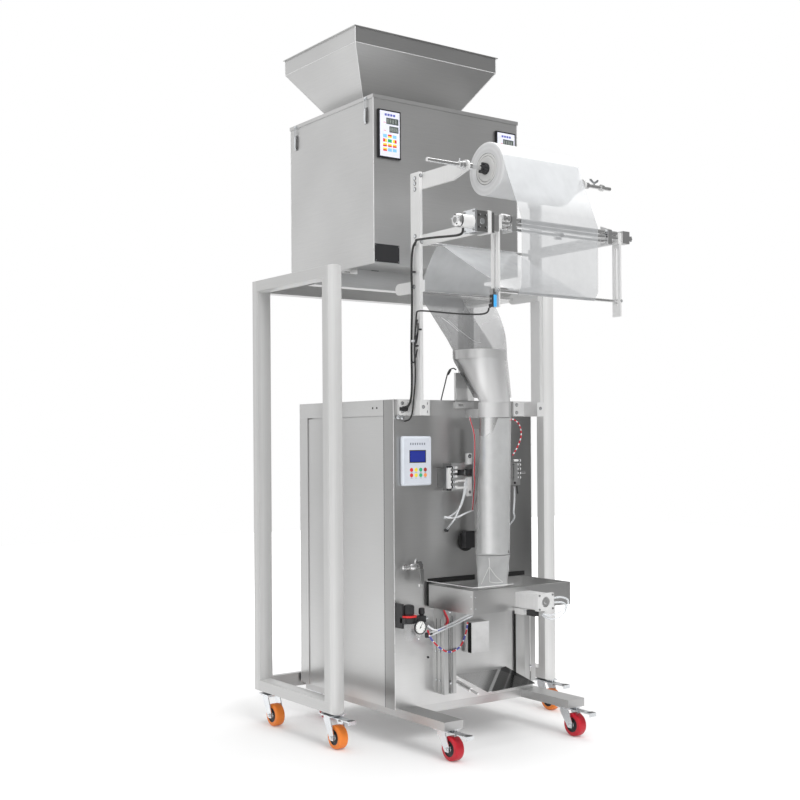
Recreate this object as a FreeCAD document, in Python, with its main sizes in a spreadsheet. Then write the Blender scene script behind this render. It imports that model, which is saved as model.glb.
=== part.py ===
# Weighing and filling machine: a multi-head weigher on a wheeled gantry over a form-fill-seal cabinet.
# Millimetres, +Z up, -Y is the operator's side, origin on the floor under the middle of the machine.
import FreeCAD
import Part
import Sketcher
import math
import os
import re

V = FreeCAD.Vector

SIZES = {
    # placing
    "mid_back": 283.0,
    # gantry
    "gantry_wide": 950.0, "gantry_deep": 491.0, "gantry_gap": 10.0, "gantry_top": 1510.0,
    "post_wide": 50.0, "post_deep": 45.0, "post_bulge": 5.0,
    "beam_deep": 45.0, "beam_tall": 45.0, "beam_wall": 2.5, "beam_ahead": 62.5, "low_beam_deep": 22.0,
    # weigher
    "weigher_wide": 610.0, "weigher_deep": 514.0, "weigher_tall": 531.0, "weigher_side": 13.0,
    "weigher_gap": 17.0, "weigher_behind": 27.5, "foot_wide": 546.0,
    "lid_tall": 12.0, "lid_lip": 3.0,
    "hopper_wide": 596.0, "hopper_deep": 445.0, "hopper_side": -13.0, "hopper_behind": 37.5,
    "hopper_band": 53.0, "hopper_slope": 183.0, "hopper_wall": 2.5, "hopper_lip": 6.0,
    "throat_wide": 347.0, "throat_deep": 183.0,
    "panel_wide": 88.0, "panel_tall": 156.0, "panel_thick": 10.0, "panel_edge": 14.0, "panel_drop": 34.0,
    "latch_wide": 18.0, "latch_tall": 78.0, "latch_inset": 30.0, "latch_plate": 3.0, "latch_lever": 6.0,
    "lever_wide": 12.0, "lever_long": 46.0, "catch_tall": 14.0, "catch_drop": 2.0,
    # filling cabinet
    "cabinet_wide": 573.0, "cabinet_side": -18.5, "cabinet_front": -375.0, "cabinet_deep": 561.0, "cabinet_top": 1087.0,
    "cap_tall": 50.0, "cap_gap": 4.0, "flange_deep": 50.0, "side_recess": 3.0, "seam_deep": 12.0,
    # skids
    "skid_wide": 71.0, "skid_tall": 26.0, "skid_line": 252.0, "skid_front": -602.0,
    "tie_deep": 40.0,
    # casters
    "wheel_round": 75.0, "wheel_wide": 32.0, "wheel_trail": 30.0, "caster_low": 93.0, "caster_high": 105.0,
    "fork_plate": 3.0, "fork_gap": 5.0, "fork_wide": 30.0, "fork_nose": 6.0, "mount_plate": 62.0,
    "mount_thick": 3.0, "race_tall": 3.0, "race_play": 0.3, "swivel_round": 36.0, "axle_round": 9.0,
    "axle_play": 0.4, "cheek_drop": 8.0, "cheek_foot": 9.0, "pedal_wide": 28.0, "pedal_reach": 112.0,
    "pedal_start": 15.0, "pedal_lip": 8.0,
    "red_near": 36.0, "red_far": 56.0, "orange_near": 33.0, "orange_far": 72.0,
    # film frame
    "upright_line": 249.0, "upright_thick": 12.0, "upright_deep": 45.0, "upright_front": -450.0,
    "upright_foot": 1036.0, "upright_top": 1790.0, "bracket_wide": 122.0, "bracket_side": 20.0,
    "bracket_thick": 8.0, "foot_box": 28.0, "foot_out": 9.0, "foot_tall": 46.0,
    "arm_thick": 8.0, "arm_tall": 50.0, "arm_taper": 60.0, "roll_line": -660.0, "roll_height": 1770.0,
    "arm_head": 17.0, "shaft_round": 12.0, "shaft_long": 746.0, "shaft_side": -11.0, "shaft_play": 0.1,
    "shaft_collar": 24.0, "collar_long": 14.0, "shaft_knob": 22.0,
    "roll_round": 160.0, "roll_wide": 312.0, "roll_side": -6.0, "core_bore": 76.0,
    "plug_deep": 24.0, "chuck_round": 30.0, "chuck_long": 20.0,
    "feed_arm_tall": 34.0, "feed_arm_low": 1561.0, "feed_line": -800.0, "guide_round": 10.0,
    "tie_bar_height": 1566.0, "rear_rod_line": -428.0, "rear_rod_height": 1573.0,
    "rear_guide_line": -322.0, "rear_guide_height": 1438.0, "rear_head": 18.0,
    "drive_round": 14.0, "drive_line": -809.0, "drive_height": 1592.0,
    "pinch_round": 12.0, "pinch_line": -811.0, "pinch_height": 1577.5,
    "hanger_wide": 33.0, "hanger_thick": 6.0, "hanger_low": 1337.0, "hanger_slot": 9.0, "slot_top": 1545.0,
    "dancer_height": 1385.0, "dancer_round": 8.8, "nut_round": 18.0, "nut_thick": 7.0,
    "eye_wide": 16.0, "eye_deep": 31.0, "eye_tall": 35.0, "eye_low": 1336.0, "eye_plate": 3.0,
    # feed
    "bearing_line": 199.0, "bearing_thick": 6.0, "bearing_back": -780.0, "bearing_front": -823.0,
    "bearing_low": 1555.0, "bearing_high": 1615.0, "bearing_nose": 1599.0, "bearing_flange": 16.0,
    "gear_long": 58.0, "gear_deep": 46.0, "gear_tall": 58.0, "gear_line": -803.0, "gear_height": 1573.0,
    "motor_long": 91.0, "motor_round": 40.0, "motor_line": -812.0, "coupling_round": 24.0,
    "end_long": 30.0, "end_deep": 26.0, "end_low": 1562.0, "end_tall": 38.0, "screw_round": 6.0,
    "screw_long": 26.0, "wing_long": 14.0, "wing_tall": 14.0, "wing_thick": 5.0, "clamp_wide": 22.0,
    "clamp_side": 7.0,
    # forming set and tube
    "tube_line": -499.0, "tube_round": 94.0, "tube_wall": 1.5, "tube_low": 600.0,
    "funnel_line": -433.0, "funnel_round": 163.0, "funnel_high": 1247.0, "funnel_band": 29.0,
    "cone_lean": 26.1, "cone_half": 10.6, "cone_apex": 859.0, "cone_root": -616.4, "cone_near": 190.0,
    "cone_far": 460.0,
    "neck_line": -502.0, "neck_round": 104.0, "neck_high": 1077.0, "neck_low": 1030.0, "stay_wide": 30.0,
    "sheet_thick": 1.5, "ring_tall": 3.0, "film_gap": 0.8, "film_thick": 1.2, "film_wide": 310.0,
    "film_side": -8.0, "web_gap": 0.3, "sleeve_low": 590.0, "sleeve_high": 1029.0,
    "bag_low": 490.0, "bag_wide": 124.0, "bag_deep": 30.0, "tail_wide": 106.0, "tail_low": 1093.0,
    # jaws
    "jaw_wide": 402.0, "jaw_side": 20.0, "jaw_front": -610.0, "jaw_low": 430.0, "jaw_tall": 72.0,
    "jaw_wall": 6.0, "clamp_long": 230.0, "clamp_deep": 38.0, "clamp_tall": 32.0, "clamp_low": 450.0,
    "ram_side": 17.0, "ram_wide": 66.0, "ram_long": 94.0, "ram_low": 438.0, "ram_tall": 52.0,
    "ram_cover": 13.0, "ram_round": 32.0, "ram_dish": 3.0, "ram_block": 18.0,
    "channel_left": -127.0, "channel_right": 211.0, "channel_wide": 48.0, "channel_deep": 52.0,
    "channel_low": 155.0, "channel_slot": 8.0, "channel_groove": 6.0,
    # back seal and its cylinders
    "seal_wide": 24.0, "seal_front": -439.0, "seal_deep": 25.0, "seal_low": 660.0, "seal_high": 995.0,
    "seal_stem_low": 780.0, "seal_stem_high": 900.0, "seal_block_low": 796.0, "seal_block_high": 886.0,
    "seal_block_wide": 101.0, "seal_block_deep": 48.0, 
    "side_left": 135.0, "side_wide": 47.0, "side_deep": 42.0, "side_low": 808.0,
    "side_tall": 74.0, 
    # brackets on the cabinet's front
    "cap_post_wide": 49.0, "cap_post_side": -41.0, "cap_post_line": -368.0, "cap_post_thick": 8.0,
    "cap_post_tall": 90.0, "bar_wide": 76.0, "bar_side": -25.0, "bar_low": 1061.0, "bar_tall": 21.0,
    "bar_thick": 8.0, "bar_slot": 7.0, "bar_inset": 12.0, "box_wide": 75.0, "box_side": 18.0,
    "box_low": 269.0, "box_tall": 98.0, "box_deep": 26.0,
    # discharge chute
    "chute_left": -67.0, "chute_valley": 114.0, "chute_right": 149.0, "chute_high": 203.0,
    "chute_fold": 198.0, "chute_line": -530.0, "chute_front_left": -58.0, "chute_front_right": 139.0,
    "chute_front_low": 170.0, "chute_front_side": 174.0, "chute_thick": 2.0, "strut_side": -60.0,
    "strut_height": 178.0, "strut_round": 16.0, "strut_long": 70.0, "strut_rod": 8.0, "strut_reach": 40.0,
    "strut_fall": 12.0,
    # air unit
    "air_line": -412.0, "air_left": -303.0, "air_wide": 85.0, "air_low": 392.0, "air_tall": 20.0,
    "air_deep": 40.0, "knob_side": -277.0, "knob_round": 32.0, "knob_low": 417.0, "knob_tall": 32.0,
    "collar_round": 46.0, "collar_tall": 5.0, "air_back_wide": 7.0, "air_back_low": 376.0,
    "air_back_tall": 76.0, "gauge_side": -258.0, "gauge_height": 381.0, "gauge_round": 44.0,
    "gauge_deep": 14.0, "bowl_round": 36.0, "bowl_tall": 60.0, "bowl_left": -277.0, "bowl_right": -226.0,
    "valve_left": -304.0, "valve_long": 62.0, "valve_height": 570.0, "valve_round": 26.0,
    "valve_line": -398.0, "spout_long": 19.0, "spout_round": 16.0, "lever_side": -262.0,
    "lever_plate": 6.0, "lever_deep": 16.0, "lever_low": 498.0, "valve_stem": 14.0,
    # control unit on the cabinet
    "unit_wide": 116.0, "unit_tall": 157.0, "unit_thick": 16.0, "unit_side": -224.5, "unit_high": 894.0,
    # cords held along the left upright
    "motor_cord": 7.0, "eye_cord": 5.0,
}

# places that follow from the sizes above: the gantry stands off the cabinet's back, the weigher on its
# beams, and each caster keeps its distance from the end of its skid or portal
PLACES = {
    "gantry_mid": "cabinet_front + cabinet_deep + gantry_gap + low_beam_deep - gantry_deep / 2",
    "front_beam_line": "gantry_mid - beam_ahead",
    "weigher_line": "gantry_mid + weigher_behind",
    "hopper_back": "weigher_line + hopper_behind",
    "orange_front": "gantry_mid - gantry_deep / 2 + orange_near",
    "orange_rear": "gantry_mid + gantry_deep / 2 - orange_far",
    "red_front": "skid_front + red_near",
    "red_rear": "cabinet_front + cabinet_deep - red_far",
}

doc = FreeCAD.newDocument("machine")
sheet = doc.addObject("Spreadsheet::Sheet", "Sizes")
for row, (alias, number) in enumerate(SIZES.items(), start=1):
    sheet.set("A%d" % row, alias)
    sheet.set("B%d" % row, repr(number))
    sheet.setAlias("B%d" % row, alias)
for row, (alias, text) in enumerate(PLACES.items(), start=len(SIZES) + 1):
    sheet.set("A%d" % row, alias)
    sheet.set("B%d" % row, "=" + text)
    sheet.setAlias("B%d" % row, alias)
doc.recompute()

NODES = []
ALIAS = re.compile(r"\b([a-z]+(?:_[a-z]+)+)\b")


def tied(text):
    # an expression over the sheet's sizes
    return ALIAS.sub(r"Sizes.\1", str(text))


def place(thing, x, y, z):
    thing.setExpression("Placement.Base.x", tied(x))
    thing.setExpression("Placement.Base.y", tied("(%s) + mid_back" % y))
    thing.setExpression("Placement.Base.z", tied(z))


def turn(thing, axis):
    if axis == "x":
        thing.Placement.Rotation = FreeCAD.Rotation(V(0, 1, 0), 90)
    if axis == "y":
        thing.Placement.Rotation = FreeCAD.Rotation(V(1, 0, 0), -90)


def block(x, y, z, wide, deep, tall):
    # a box from its low corner
    thing = doc.addObject("Part::Box", "Box")
    thing.setExpression("Length", tied(wide))
    thing.setExpression("Width", tied(deep))
    thing.setExpression("Height", tied(tall))
    place(thing, x, y, z)
    return thing


def rod(x, y, z, radius, length, axis="z"):
    # a cylinder that starts at the point and runs along +axis
    thing = doc.addObject("Part::Cylinder", "Rod")
    thing.setExpression("Radius", tied(radius))
    thing.setExpression("Height", tied(length))
    turn(thing, axis)
    place(thing, x, y, z)
    return thing


def prism(x, y, z, sides, radius, length, axis="z"):
    # a regular prism, such as a nut or a fluted knob, that starts at the point and runs along +axis
    thing = doc.addObject("Part::Prism", "Prism")
    thing.Polygon = sides
    thing.setExpression("Circumradius", tied(radius))
    thing.setExpression("Height", tied(length))
    turn(thing, axis)
    place(thing, x, y, z)
    return thing


def cut(base, tool):
    thing = doc.addObject("Part::Cut", "Cut")
    thing.Base = base
    thing.Tool = tool
    return thing


def common(base, tool):
    thing = doc.addObject("Part::Common", "Common")
    thing.Base = base
    thing.Tool = tool
    return thing


def wedge(x, y, z, low_wide, low_deep, high_wide, high_deep, tall):
    # four slopes between two level rectangles, centred over the point
    thing = doc.addObject("Part::Wedge", "Slopes")
    for name, text in (("Xmin", "-(%s) / 2" % low_wide), ("Xmax", "(%s) / 2" % low_wide),
                       ("Zmin", "-(%s) / 2" % low_deep), ("Zmax", "(%s) / 2" % low_deep),
                       ("X2min", "-(%s) / 2" % high_wide), ("X2max", "(%s) / 2" % high_wide),
                       ("Z2min", "-(%s) / 2" % high_deep), ("Z2max", "(%s) / 2" % high_deep),
                       ("Ymin", "0"), ("Ymax", tall)):
        thing.setExpression(name, tied(text))
    thing.Placement.Rotation = FreeCAD.Rotation(V(1, 0, 0), 90)
    place(thing, x, y, z)
    return thing


def fuse(*things):
    if len(things) == 1:
        return things[0]
    thing = doc.addObject("Part::MultiFuse", "Fuse")
    thing.Shapes = list(things)
    return thing


def group(*things):
    # solids that share a node and don't touch
    if len(things) == 1:
        return things[0]
    thing = doc.addObject("Part::Compound", "Set")
    thing.Links = list(things)
    return thing


def node(label, thing):
    thing.Label = label
    NODES.append(thing)
    return thing


def origin_plane(body, role):
    for feature in body.Origin.OriginFeatures:
        if feature.Role == role:
            return feature
    raise ValueError(role)


def outline(body, name, role, points):
    # a closed sketch through points given as expressions, each point dimensioned from the origin
    sketch = body.newObject("Sketcher::SketchObject", name)
    sketch.AttachmentSupport = [(origin_plane(body, role), "")]
    sketch.MapMode = "FlatFace"
    spots = [(value(a), value(b)) for a, b in points]
    count = len(points)
    for i in range(count):
        j = (i + 1) % count
        start = V(spots[i][0], spots[i][1], 0)
        end = V(spots[j][0], spots[j][1], 0)
        sketch.addGeometry(Part.LineSegment(start, end), False)
    for i in range(count):
        sketch.addConstraint(Sketcher.Constraint("Coincident", i, 2, (i + 1) % count, 1))
    for i in range(count):
        for kind, expression, spot in (("DistanceX", points[i][0], spots[i][0]),
                                       ("DistanceY", points[i][1], spots[i][1])):
            index = sketch.addConstraint(Sketcher.Constraint(kind, -1, 1, i, 1, spot))
            sketch.setExpression("Constraints[%d]" % index, tied(expression))
    return sketch


def value(expression):
    # the number that an expression gives with the sheet's present sizes
    return float(sheet.evalExpression(re.sub(r"\b([a-z]+(?:_[a-z]+)+)\b", r"\1", str(expression))))


def plate(points, x, thick):
    # a flat piece in the YZ plane, thick along +X from x
    body = doc.addObject("PartDesign::Body", "Plate")
    sketch = outline(body, "Profile", "YZ_Plane", points)
    pad = body.newObject("PartDesign::Pad", "Pad")
    pad.Profile = sketch
    pad.setExpression("Length", tied(thick))
    place(body, x, "0", "0")
    return body


# gantry: two mitred portals of tube with rounded front and back walls
def portal(label, x):
    body = doc.addObject("PartDesign::Body", "Portal")
    low = "caster_high + post_deep / 2"
    high = "gantry_top - post_deep / 2"
    near = "gantry_mid - gantry_deep / 2 + post_deep / 2"
    far = "gantry_mid + gantry_deep / 2 - post_deep / 2"
    path = outline(body, "Path", "YZ_Plane", [(near, low), (far, low), (far, high), (near, high)])
    section = body.newObject("Sketcher::SketchObject", "Section")
    section.AttachmentSupport = [(origin_plane(body, "XZ_Plane"), "")]
    section.MapMode = "FlatFace"
    half = SIZES["post_wide"] / 2
    flat = SIZES["post_deep"] / 2 - SIZES["post_bulge"]
    peak = SIZES["post_deep"] / 2
    mid = SIZES["caster_high"] + SIZES["post_deep"] / 2
    left_low, left_high = V(-half, mid - flat, 0), V(-half, mid + flat, 0)
    right_low, right_high = V(half, mid - flat, 0), V(half, mid + flat, 0)
    section.addGeometry(Part.LineSegment(left_low, left_high), False)
    section.addGeometry(Part.Arc(left_high, V(0, mid + peak, 0), right_high), False)
    section.addGeometry(Part.LineSegment(right_high, right_low), False)
    section.addGeometry(Part.Arc(right_low, V(0, mid - peak, 0), left_low), False)
    ends = ((0, 2, 1, 2), (1, 1, 2, 1), (2, 2, 3, 2), (3, 1, 0, 1))
    for first, first_end, second, second_end in ends:
        section.addConstraint(Sketcher.Constraint("Coincident", first, first_end, second, second_end))
    section.addConstraint(Sketcher.Constraint("Vertical", 0))
    section.addConstraint(Sketcher.Constraint("Vertical", 2))
    for kind, line, end, number, expression in (
            ("DistanceX", 0, 1, -half, "-post_wide / 2"),
            ("DistanceY", 0, 1, mid - flat, "caster_high + post_bulge"),
            ("DistanceY", 0, 2, mid + flat, "caster_high + post_deep - post_bulge"),
            ("DistanceX", 2, 1, half, "post_wide / 2"),
            ("DistanceY", 2, 1, mid + flat, "caster_high + post_deep - post_bulge"),
            ("DistanceY", 2, 2, mid - flat, "caster_high + post_bulge")):
        index = section.addConstraint(Sketcher.Constraint(kind, -1, 1, line, end, number))
        section.setExpression("Constraints[%d]" % index, tied(expression))
    round_wall = half * half / (2 * SIZES["post_bulge"]) + SIZES["post_bulge"] / 2
    for arc in (1, 3):
        index = section.addConstraint(Sketcher.Constraint("Radius", arc, round_wall))
        section.setExpression("Constraints[%d]" % index, tied(
            "post_wide * post_wide / (8 * post_bulge) + post_bulge / 2"))
    pipe = body.newObject("PartDesign::AdditivePipe", "Tube")
    pipe.Profile = (section, [""])
    pipe.Spine = (path, ["Edge1", "Edge2", "Edge3", "Edge4"])
    pipe.Transition = "Right corner"
    place(body, x, "0", "0")
    return node(label, body)


portal("gantry_portal_left", "-gantry_wide / 2 + post_wide / 2")
portal("gantry_portal_right", "gantry_wide / 2 - post_wide / 2")

SPAN = "gantry_wide - 2 * post_wide"


def beam(y, z, deep="beam_deep"):
    # rectangular tube between the portals
    outer = block("-(%s) / 2" % SPAN, y, z, SPAN, deep, "beam_tall")
    inner = block("-(%s) / 2" % SPAN, "(%s) + beam_wall" % y, "(%s) + beam_wall" % z, SPAN,
                  deep + " - 2 * beam_wall", "beam_tall - 2 * beam_wall")
    return cut(outer, inner)


REAR_FACE = "gantry_mid + gantry_deep / 2"
REAR_BEAM = REAR_FACE + " - beam_deep"
node("gantry_front_beam", beam("front_beam_line - beam_deep / 2", "gantry_top - beam_tall"))
node("gantry_rear_beams", group(beam(REAR_BEAM, "gantry_top - beam_tall"),
                               beam(REAR_FACE + " - low_beam_deep", "caster_high", "low_beam_deep")))

# weigher
BASE = "gantry_top + weigher_gap"
node("weigher_feet", group(
    block("weigher_side - foot_wide / 2", "front_beam_line - beam_deep / 2", "gantry_top",
          "foot_wide", "beam_deep", "weigher_gap"),
    block("weigher_side - foot_wide / 2", REAR_BEAM, "gantry_top",
          "foot_wide", "beam_deep", "weigher_gap")))
node("weigher_body", block("weigher_side - weigher_wide / 2", "weigher_line - weigher_deep / 2", BASE,
                           "weigher_wide", "weigher_deep", "weigher_tall"))
LID = "gantry_top + weigher_gap + weigher_tall"
node("weigher_lid", block("weigher_side - weigher_wide / 2 - lid_lip", "weigher_line - weigher_deep / 2 - lid_lip", LID,
                          "weigher_wide + 2 * lid_lip", "weigher_deep + 2 * lid_lip", "lid_tall"))
DECK = "gantry_top + weigher_gap + weigher_tall + lid_tall"


def hopper_form(grow):
    # the outer or inner form of the feed hopper: a band over four slopes
    slopes = wedge("hopper_side", "hopper_back", DECK, "throat_wide + 2 * (%s)" % grow,
                   "throat_deep + 2 * (%s)" % grow, "hopper_wide + 2 * (%s)" % grow,
                   "hopper_deep + 2 * (%s)" % grow, "hopper_slope")
    band = block("hopper_side - hopper_wide / 2 - (%s)" % grow, "hopper_back - hopper_deep / 2 - (%s)" % grow,
                 DECK + " + hopper_slope", "hopper_wide + 2 * (%s)" % grow, "hopper_deep + 2 * (%s)" % grow,
                 "hopper_band")
    return fuse(slopes, band)


RIM = DECK + " + hopper_slope + hopper_band"
lip_outer = block("hopper_side - hopper_wide / 2 - hopper_lip", "hopper_back - hopper_deep / 2 - hopper_lip",
                  RIM + " - hopper_wall", "hopper_wide + 2 * hopper_lip", "hopper_deep + 2 * hopper_lip",
                  "hopper_wall")
lip_inner = block("hopper_side - hopper_wide / 2", "hopper_back - hopper_deep / 2", RIM + " - hopper_wall",
                  "hopper_wide", "hopper_deep", "hopper_wall")
skin = cut(hopper_form("0"), hopper_form("-hopper_wall"))
node("feed_hopper", fuse(skin, cut(lip_outer, lip_inner)))

FACE = "weigher_line - weigher_deep / 2 - panel_thick"
PANEL_LOW = LID + " - panel_drop - panel_tall"
node("weigher_panels", group(
    block("weigher_side - weigher_wide / 2 + panel_edge", FACE, PANEL_LOW, "panel_wide", "panel_thick", "panel_tall"),
    block("weigher_side + weigher_wide / 2 - panel_edge - panel_wide", FACE, PANEL_LOW,
          "panel_wide", "panel_thick", "panel_tall")))


def latch(side, y):
    # a toggle latch: plate and lever on the body's wall, hook over the catch under the lid's edge
    wall = "weigher_side + (%s) * weigher_wide / 2" % side

    def out(start, thick):
        # low corner of a slab that starts at this distance off the wall
        return "%s + (%s)" % (wall, start) if side == "1" else "%s - (%s) - (%s)" % (wall, start, thick)

    base_low = LID + " - latch_tall"
    base = block(out("0", "latch_plate"), y, base_low, "latch_plate", "latch_wide", "lever_long + latch_wide / 2")
    lever = block(out("latch_plate", "latch_lever"), "(%s) + (latch_wide - lever_wide) / 2" % y,
                  base_low + " + lever_wide / 2", "latch_lever", "lever_wide", "lever_long")
    hook = block(out("lid_lip", "latch_plate"), "(%s) + (latch_wide - lever_wide) / 2" % y,
                 base_low + " + lever_long", "latch_plate", "lever_wide",
                 "latch_tall - lever_long + lid_tall - catch_drop")
    catch = block(out("lid_lip", "latch_lever"), y, LID + " + lid_tall - catch_drop - catch_tall / 2",
                  "latch_lever", "latch_wide", "catch_tall / 2")
    return fuse(base, lever, hook, catch)


Y_LATCH = ("weigher_line - weigher_deep / 2 + latch_inset",
           "weigher_line + weigher_deep / 2 - latch_inset - latch_wide")
node("lid_latches", group(*[latch(side, y) for side in ("-1", "1") for y in Y_LATCH]))

# filling cabinet on its skids
SKID_TOP = "caster_low + skid_tall"
BACK = "cabinet_front + cabinet_deep"
CAP = "cabinet_top - cap_tall"
CABINET_LEFT = "cabinet_side - cabinet_wide / 2"
shell = block(CABINET_LEFT, "cabinet_front", SKID_TOP, "cabinet_wide", "cabinet_deep", CAP + " - (%s)" % SKID_TOP)
PANEL_DEEP = "cabinet_deep - 2 * flange_deep"


def both_sides(low, tall, deep):
    # a pair of grooves in the two side walls, between the corner flanges
    return [block(x, "cabinet_front + flange_deep", low, deep, PANEL_DEEP, tall)
            for x in (CABINET_LEFT, "cabinet_side + cabinet_wide / 2 - (%s)" % deep)]


recesses = both_sides(SKID_TOP, CAP + " - (%s)" % SKID_TOP, "side_recess")
seams = both_sides(CAP + " - cap_gap", "cap_gap", "seam_deep")
node("cabinet_body", cut(shell, fuse(*(recesses + seams))))
node("cabinet_cap", block(CABINET_LEFT, "cabinet_front", CAP, "cabinet_wide", "cabinet_deep", "cap_tall"))
node("skid_left", block("-skid_line - skid_wide / 2", "skid_front", "caster_low",
                        "skid_wide", "(%s) - (skid_front)" % BACK, "skid_tall"))
node("skid_right", block("skid_line - skid_wide / 2", "skid_front", "caster_low",
                         "skid_wide", "(%s) - (skid_front)" % BACK, "skid_tall"))
TIE = "2 * skid_line - skid_wide"
node("skid_ties", group(
    block("-(%s) / 2" % TIE, "cabinet_front", "caster_low", TIE, "tie_deep", "skid_tall"),
    block("-(%s) / 2" % TIE, "(%s) - tie_deep" % BACK, "caster_low", TIE, "tie_deep", "skid_tall")))


HEADS = []


# casters: a bolted head, a swivel fork that trails towards the operator, and a wheel;
# the front ones have a brake pedal over the wheel
def caster(tag, x, y, top, pedal):
    axle = "wheel_round / 2"
    hub_line = "(%s) - wheel_trail" % y
    HEADS.append(block("(%s) - mount_plate / 2" % x, "(%s) - mount_plate / 2" % y, "(%s) - mount_thick" % top,
                       "mount_plate", "mount_plate", "mount_thick"))
    cheek = "wheel_wide / 2 + fork_gap"
    crown = "(%s) - mount_thick - race_tall - race_play - fork_plate" % top
    sides = []
    for start in ("(%s) - (%s) - fork_plate" % (x, cheek), "(%s) + (%s)" % (x, cheek)):
        sides.append(plate([
            ("(%s) + fork_wide / 2" % y, crown),
            ("(%s) + fork_wide / 2" % y, crown + " - cheek_drop"),
            ("(%s) + cheek_foot" % hub_line, axle + " - cheek_foot"),
            ("(%s) - cheek_foot" % hub_line, axle + " - cheek_foot"),
            ("(%s) - cheek_foot - 2" % hub_line, axle + " + cheek_foot"),
            ("(%s) - fork_wide / 2 - fork_nose" % y, crown)], start, "fork_plate"))
    crown_plate = block("(%s) - (%s) - fork_plate" % (x, cheek), "(%s) - fork_wide / 2 - fork_nose" % y, crown,
                        "2 * (%s) + 2 * fork_plate" % cheek, "fork_wide + fork_nose", "fork_plate")
    race = block("(%s) - swivel_round / 2" % x, "(%s) - fork_wide / 2" % y, crown + " + fork_plate",
                 "swivel_round", "fork_wide", "race_tall")
    pin = rod("(%s) - (%s) - fork_plate" % (x, cheek), hub_line, axle, "axle_round / 2",
              "2 * (%s) + 2 * fork_plate" % cheek, "x")
    pieces = [crown_plate, race, sides[0], sides[1], pin]
    if pedal:
        pieces.append(block("(%s) - pedal_wide / 2" % x, "(%s) - pedal_reach" % y, crown, "pedal_wide",
                            "pedal_reach - pedal_start", "fork_plate"))
        pieces.append(block("(%s) - pedal_wide / 2" % x, "(%s) - pedal_reach" % y, crown + " - pedal_lip",
                            "pedal_wide", "fork_plate", "pedal_lip"))
    node("caster_fork_" + tag, fuse(*pieces))
    tyre = rod("(%s) - wheel_wide / 2" % x, hub_line, axle, axle, "wheel_wide", "x")
    bore = rod("(%s) - wheel_wide / 2" % x, hub_line, axle, "axle_round / 2 + axle_play", "wheel_wide", "x")
    node("caster_wheel_" + tag, cut(tyre, bore))


LINE = "gantry_wide / 2 - post_wide / 2"
caster("orange_front_left", "-(%s)" % LINE, "orange_front", "caster_high", True)
caster("orange_front_right", LINE, "orange_front", "caster_high", True)
caster("orange_rear_left", "-(%s)" % LINE, "orange_rear", "caster_high", False)
caster("orange_rear_right", LINE, "orange_rear", "caster_high", False)
caster("red_front_left", "-skid_line", "red_front", "caster_low", True)
caster("red_front_right", "skid_line", "red_front", "caster_low", True)
caster("red_rear_left", "-skid_line", "red_rear", "caster_low", False)
caster("red_rear_right", "skid_line", "red_rear", "caster_low", False)

node("caster_heads", group(*HEADS))


# film frame: two uprights on the cabinet's cap, with arms for the roll, the feed and the rear guide
BACK_EDGE = "upright_front + upright_deep"


def film_side(label, side):
    mid = "(%s) * upright_line" % side
    right = side == "1"
    upright = block(mid + " - upright_thick / 2", "upright_front", "upright_foot",
                    "upright_thick", "upright_deep", "upright_top - upright_foot")
    plate_x = mid + (" - bracket_wide / 2 - bracket_side / 5" if right else " - bracket_wide / 2 + bracket_side")
    foot = block(plate_x, "cabinet_front - bracket_thick", CAP, "bracket_wide", "bracket_thick", "cap_tall")
    box_x = mid + (" - foot_box + foot_out" if right else " - foot_out")
    box = block(box_x, "upright_front", "upright_foot", "foot_box",
                "cabinet_front - bracket_thick - (upright_front)", "foot_tall")
    inner = mid + (" - upright_thick / 2 - arm_thick" if right else " + upright_thick / 2")
    top = "roll_height + arm_head"
    upper = fuse(plate([
        (BACK_EDGE, top + " - arm_tall"), (BACK_EDGE, top), ("roll_line", top), ("roll_line", "roll_height - arm_head"),
        ("roll_line + arm_taper", top + " - arm_tall")], inner, "arm_thick"),
        rod(inner, "roll_line", "roll_height", "arm_head", "arm_thick", "x"))
    upper = cut(upper, rod(inner, "roll_line", "roll_height", "shaft_round / 2", "arm_thick", "x"))
    feed = block(inner, "feed_line - hanger_wide / 2", "feed_arm_low", "arm_thick",
                 BACK_EDGE + " - (feed_line) + hanger_wide / 2", "feed_arm_tall")
    rear = fuse(block(inner, "upright_front", "rear_guide_height - rear_head", "arm_thick",
                      "rear_guide_line - (upright_front)", "2 * rear_head"),
                rod(inner, "rear_guide_line", "rear_guide_height", "rear_head", "arm_thick", "x"))
    return node(label, fuse(upright, foot, box, upper, feed, rear))


film_side("film_frame_left", "-1")
film_side("film_frame_right", "1")

GAP_IN = "2 * upright_line - upright_thick - 2 * arm_thick"
START_IN = "-(%s) / 2" % GAP_IN
SHAFT_LEFT = "shaft_side - shaft_long / 2"
node("roll_shaft", fuse(
    rod(SHAFT_LEFT, "roll_line", "roll_height", "shaft_round / 2", "shaft_long", "x"),
    rod("-upright_line + upright_thick / 2 - collar_long", "roll_line", "roll_height", "shaft_collar / 2",
        "collar_long", "x"),
    prism(SHAFT_LEFT + " + shaft_long - 2 * shaft_knob", "roll_line", "roll_height", 6, "shaft_knob / 2",
          "shaft_knob / 2", "x")))


def cross_rod(y, z, radius="guide_round / 2"):
    return rod(START_IN, y, z, radius, GAP_IN, "x")


node("cross_rods", group(
    cross_rod("rear_rod_line", "rear_rod_height"),
    cross_rod("rear_guide_line", "rear_guide_height"),
    cross_rod("feed_line", "tie_bar_height")))

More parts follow.
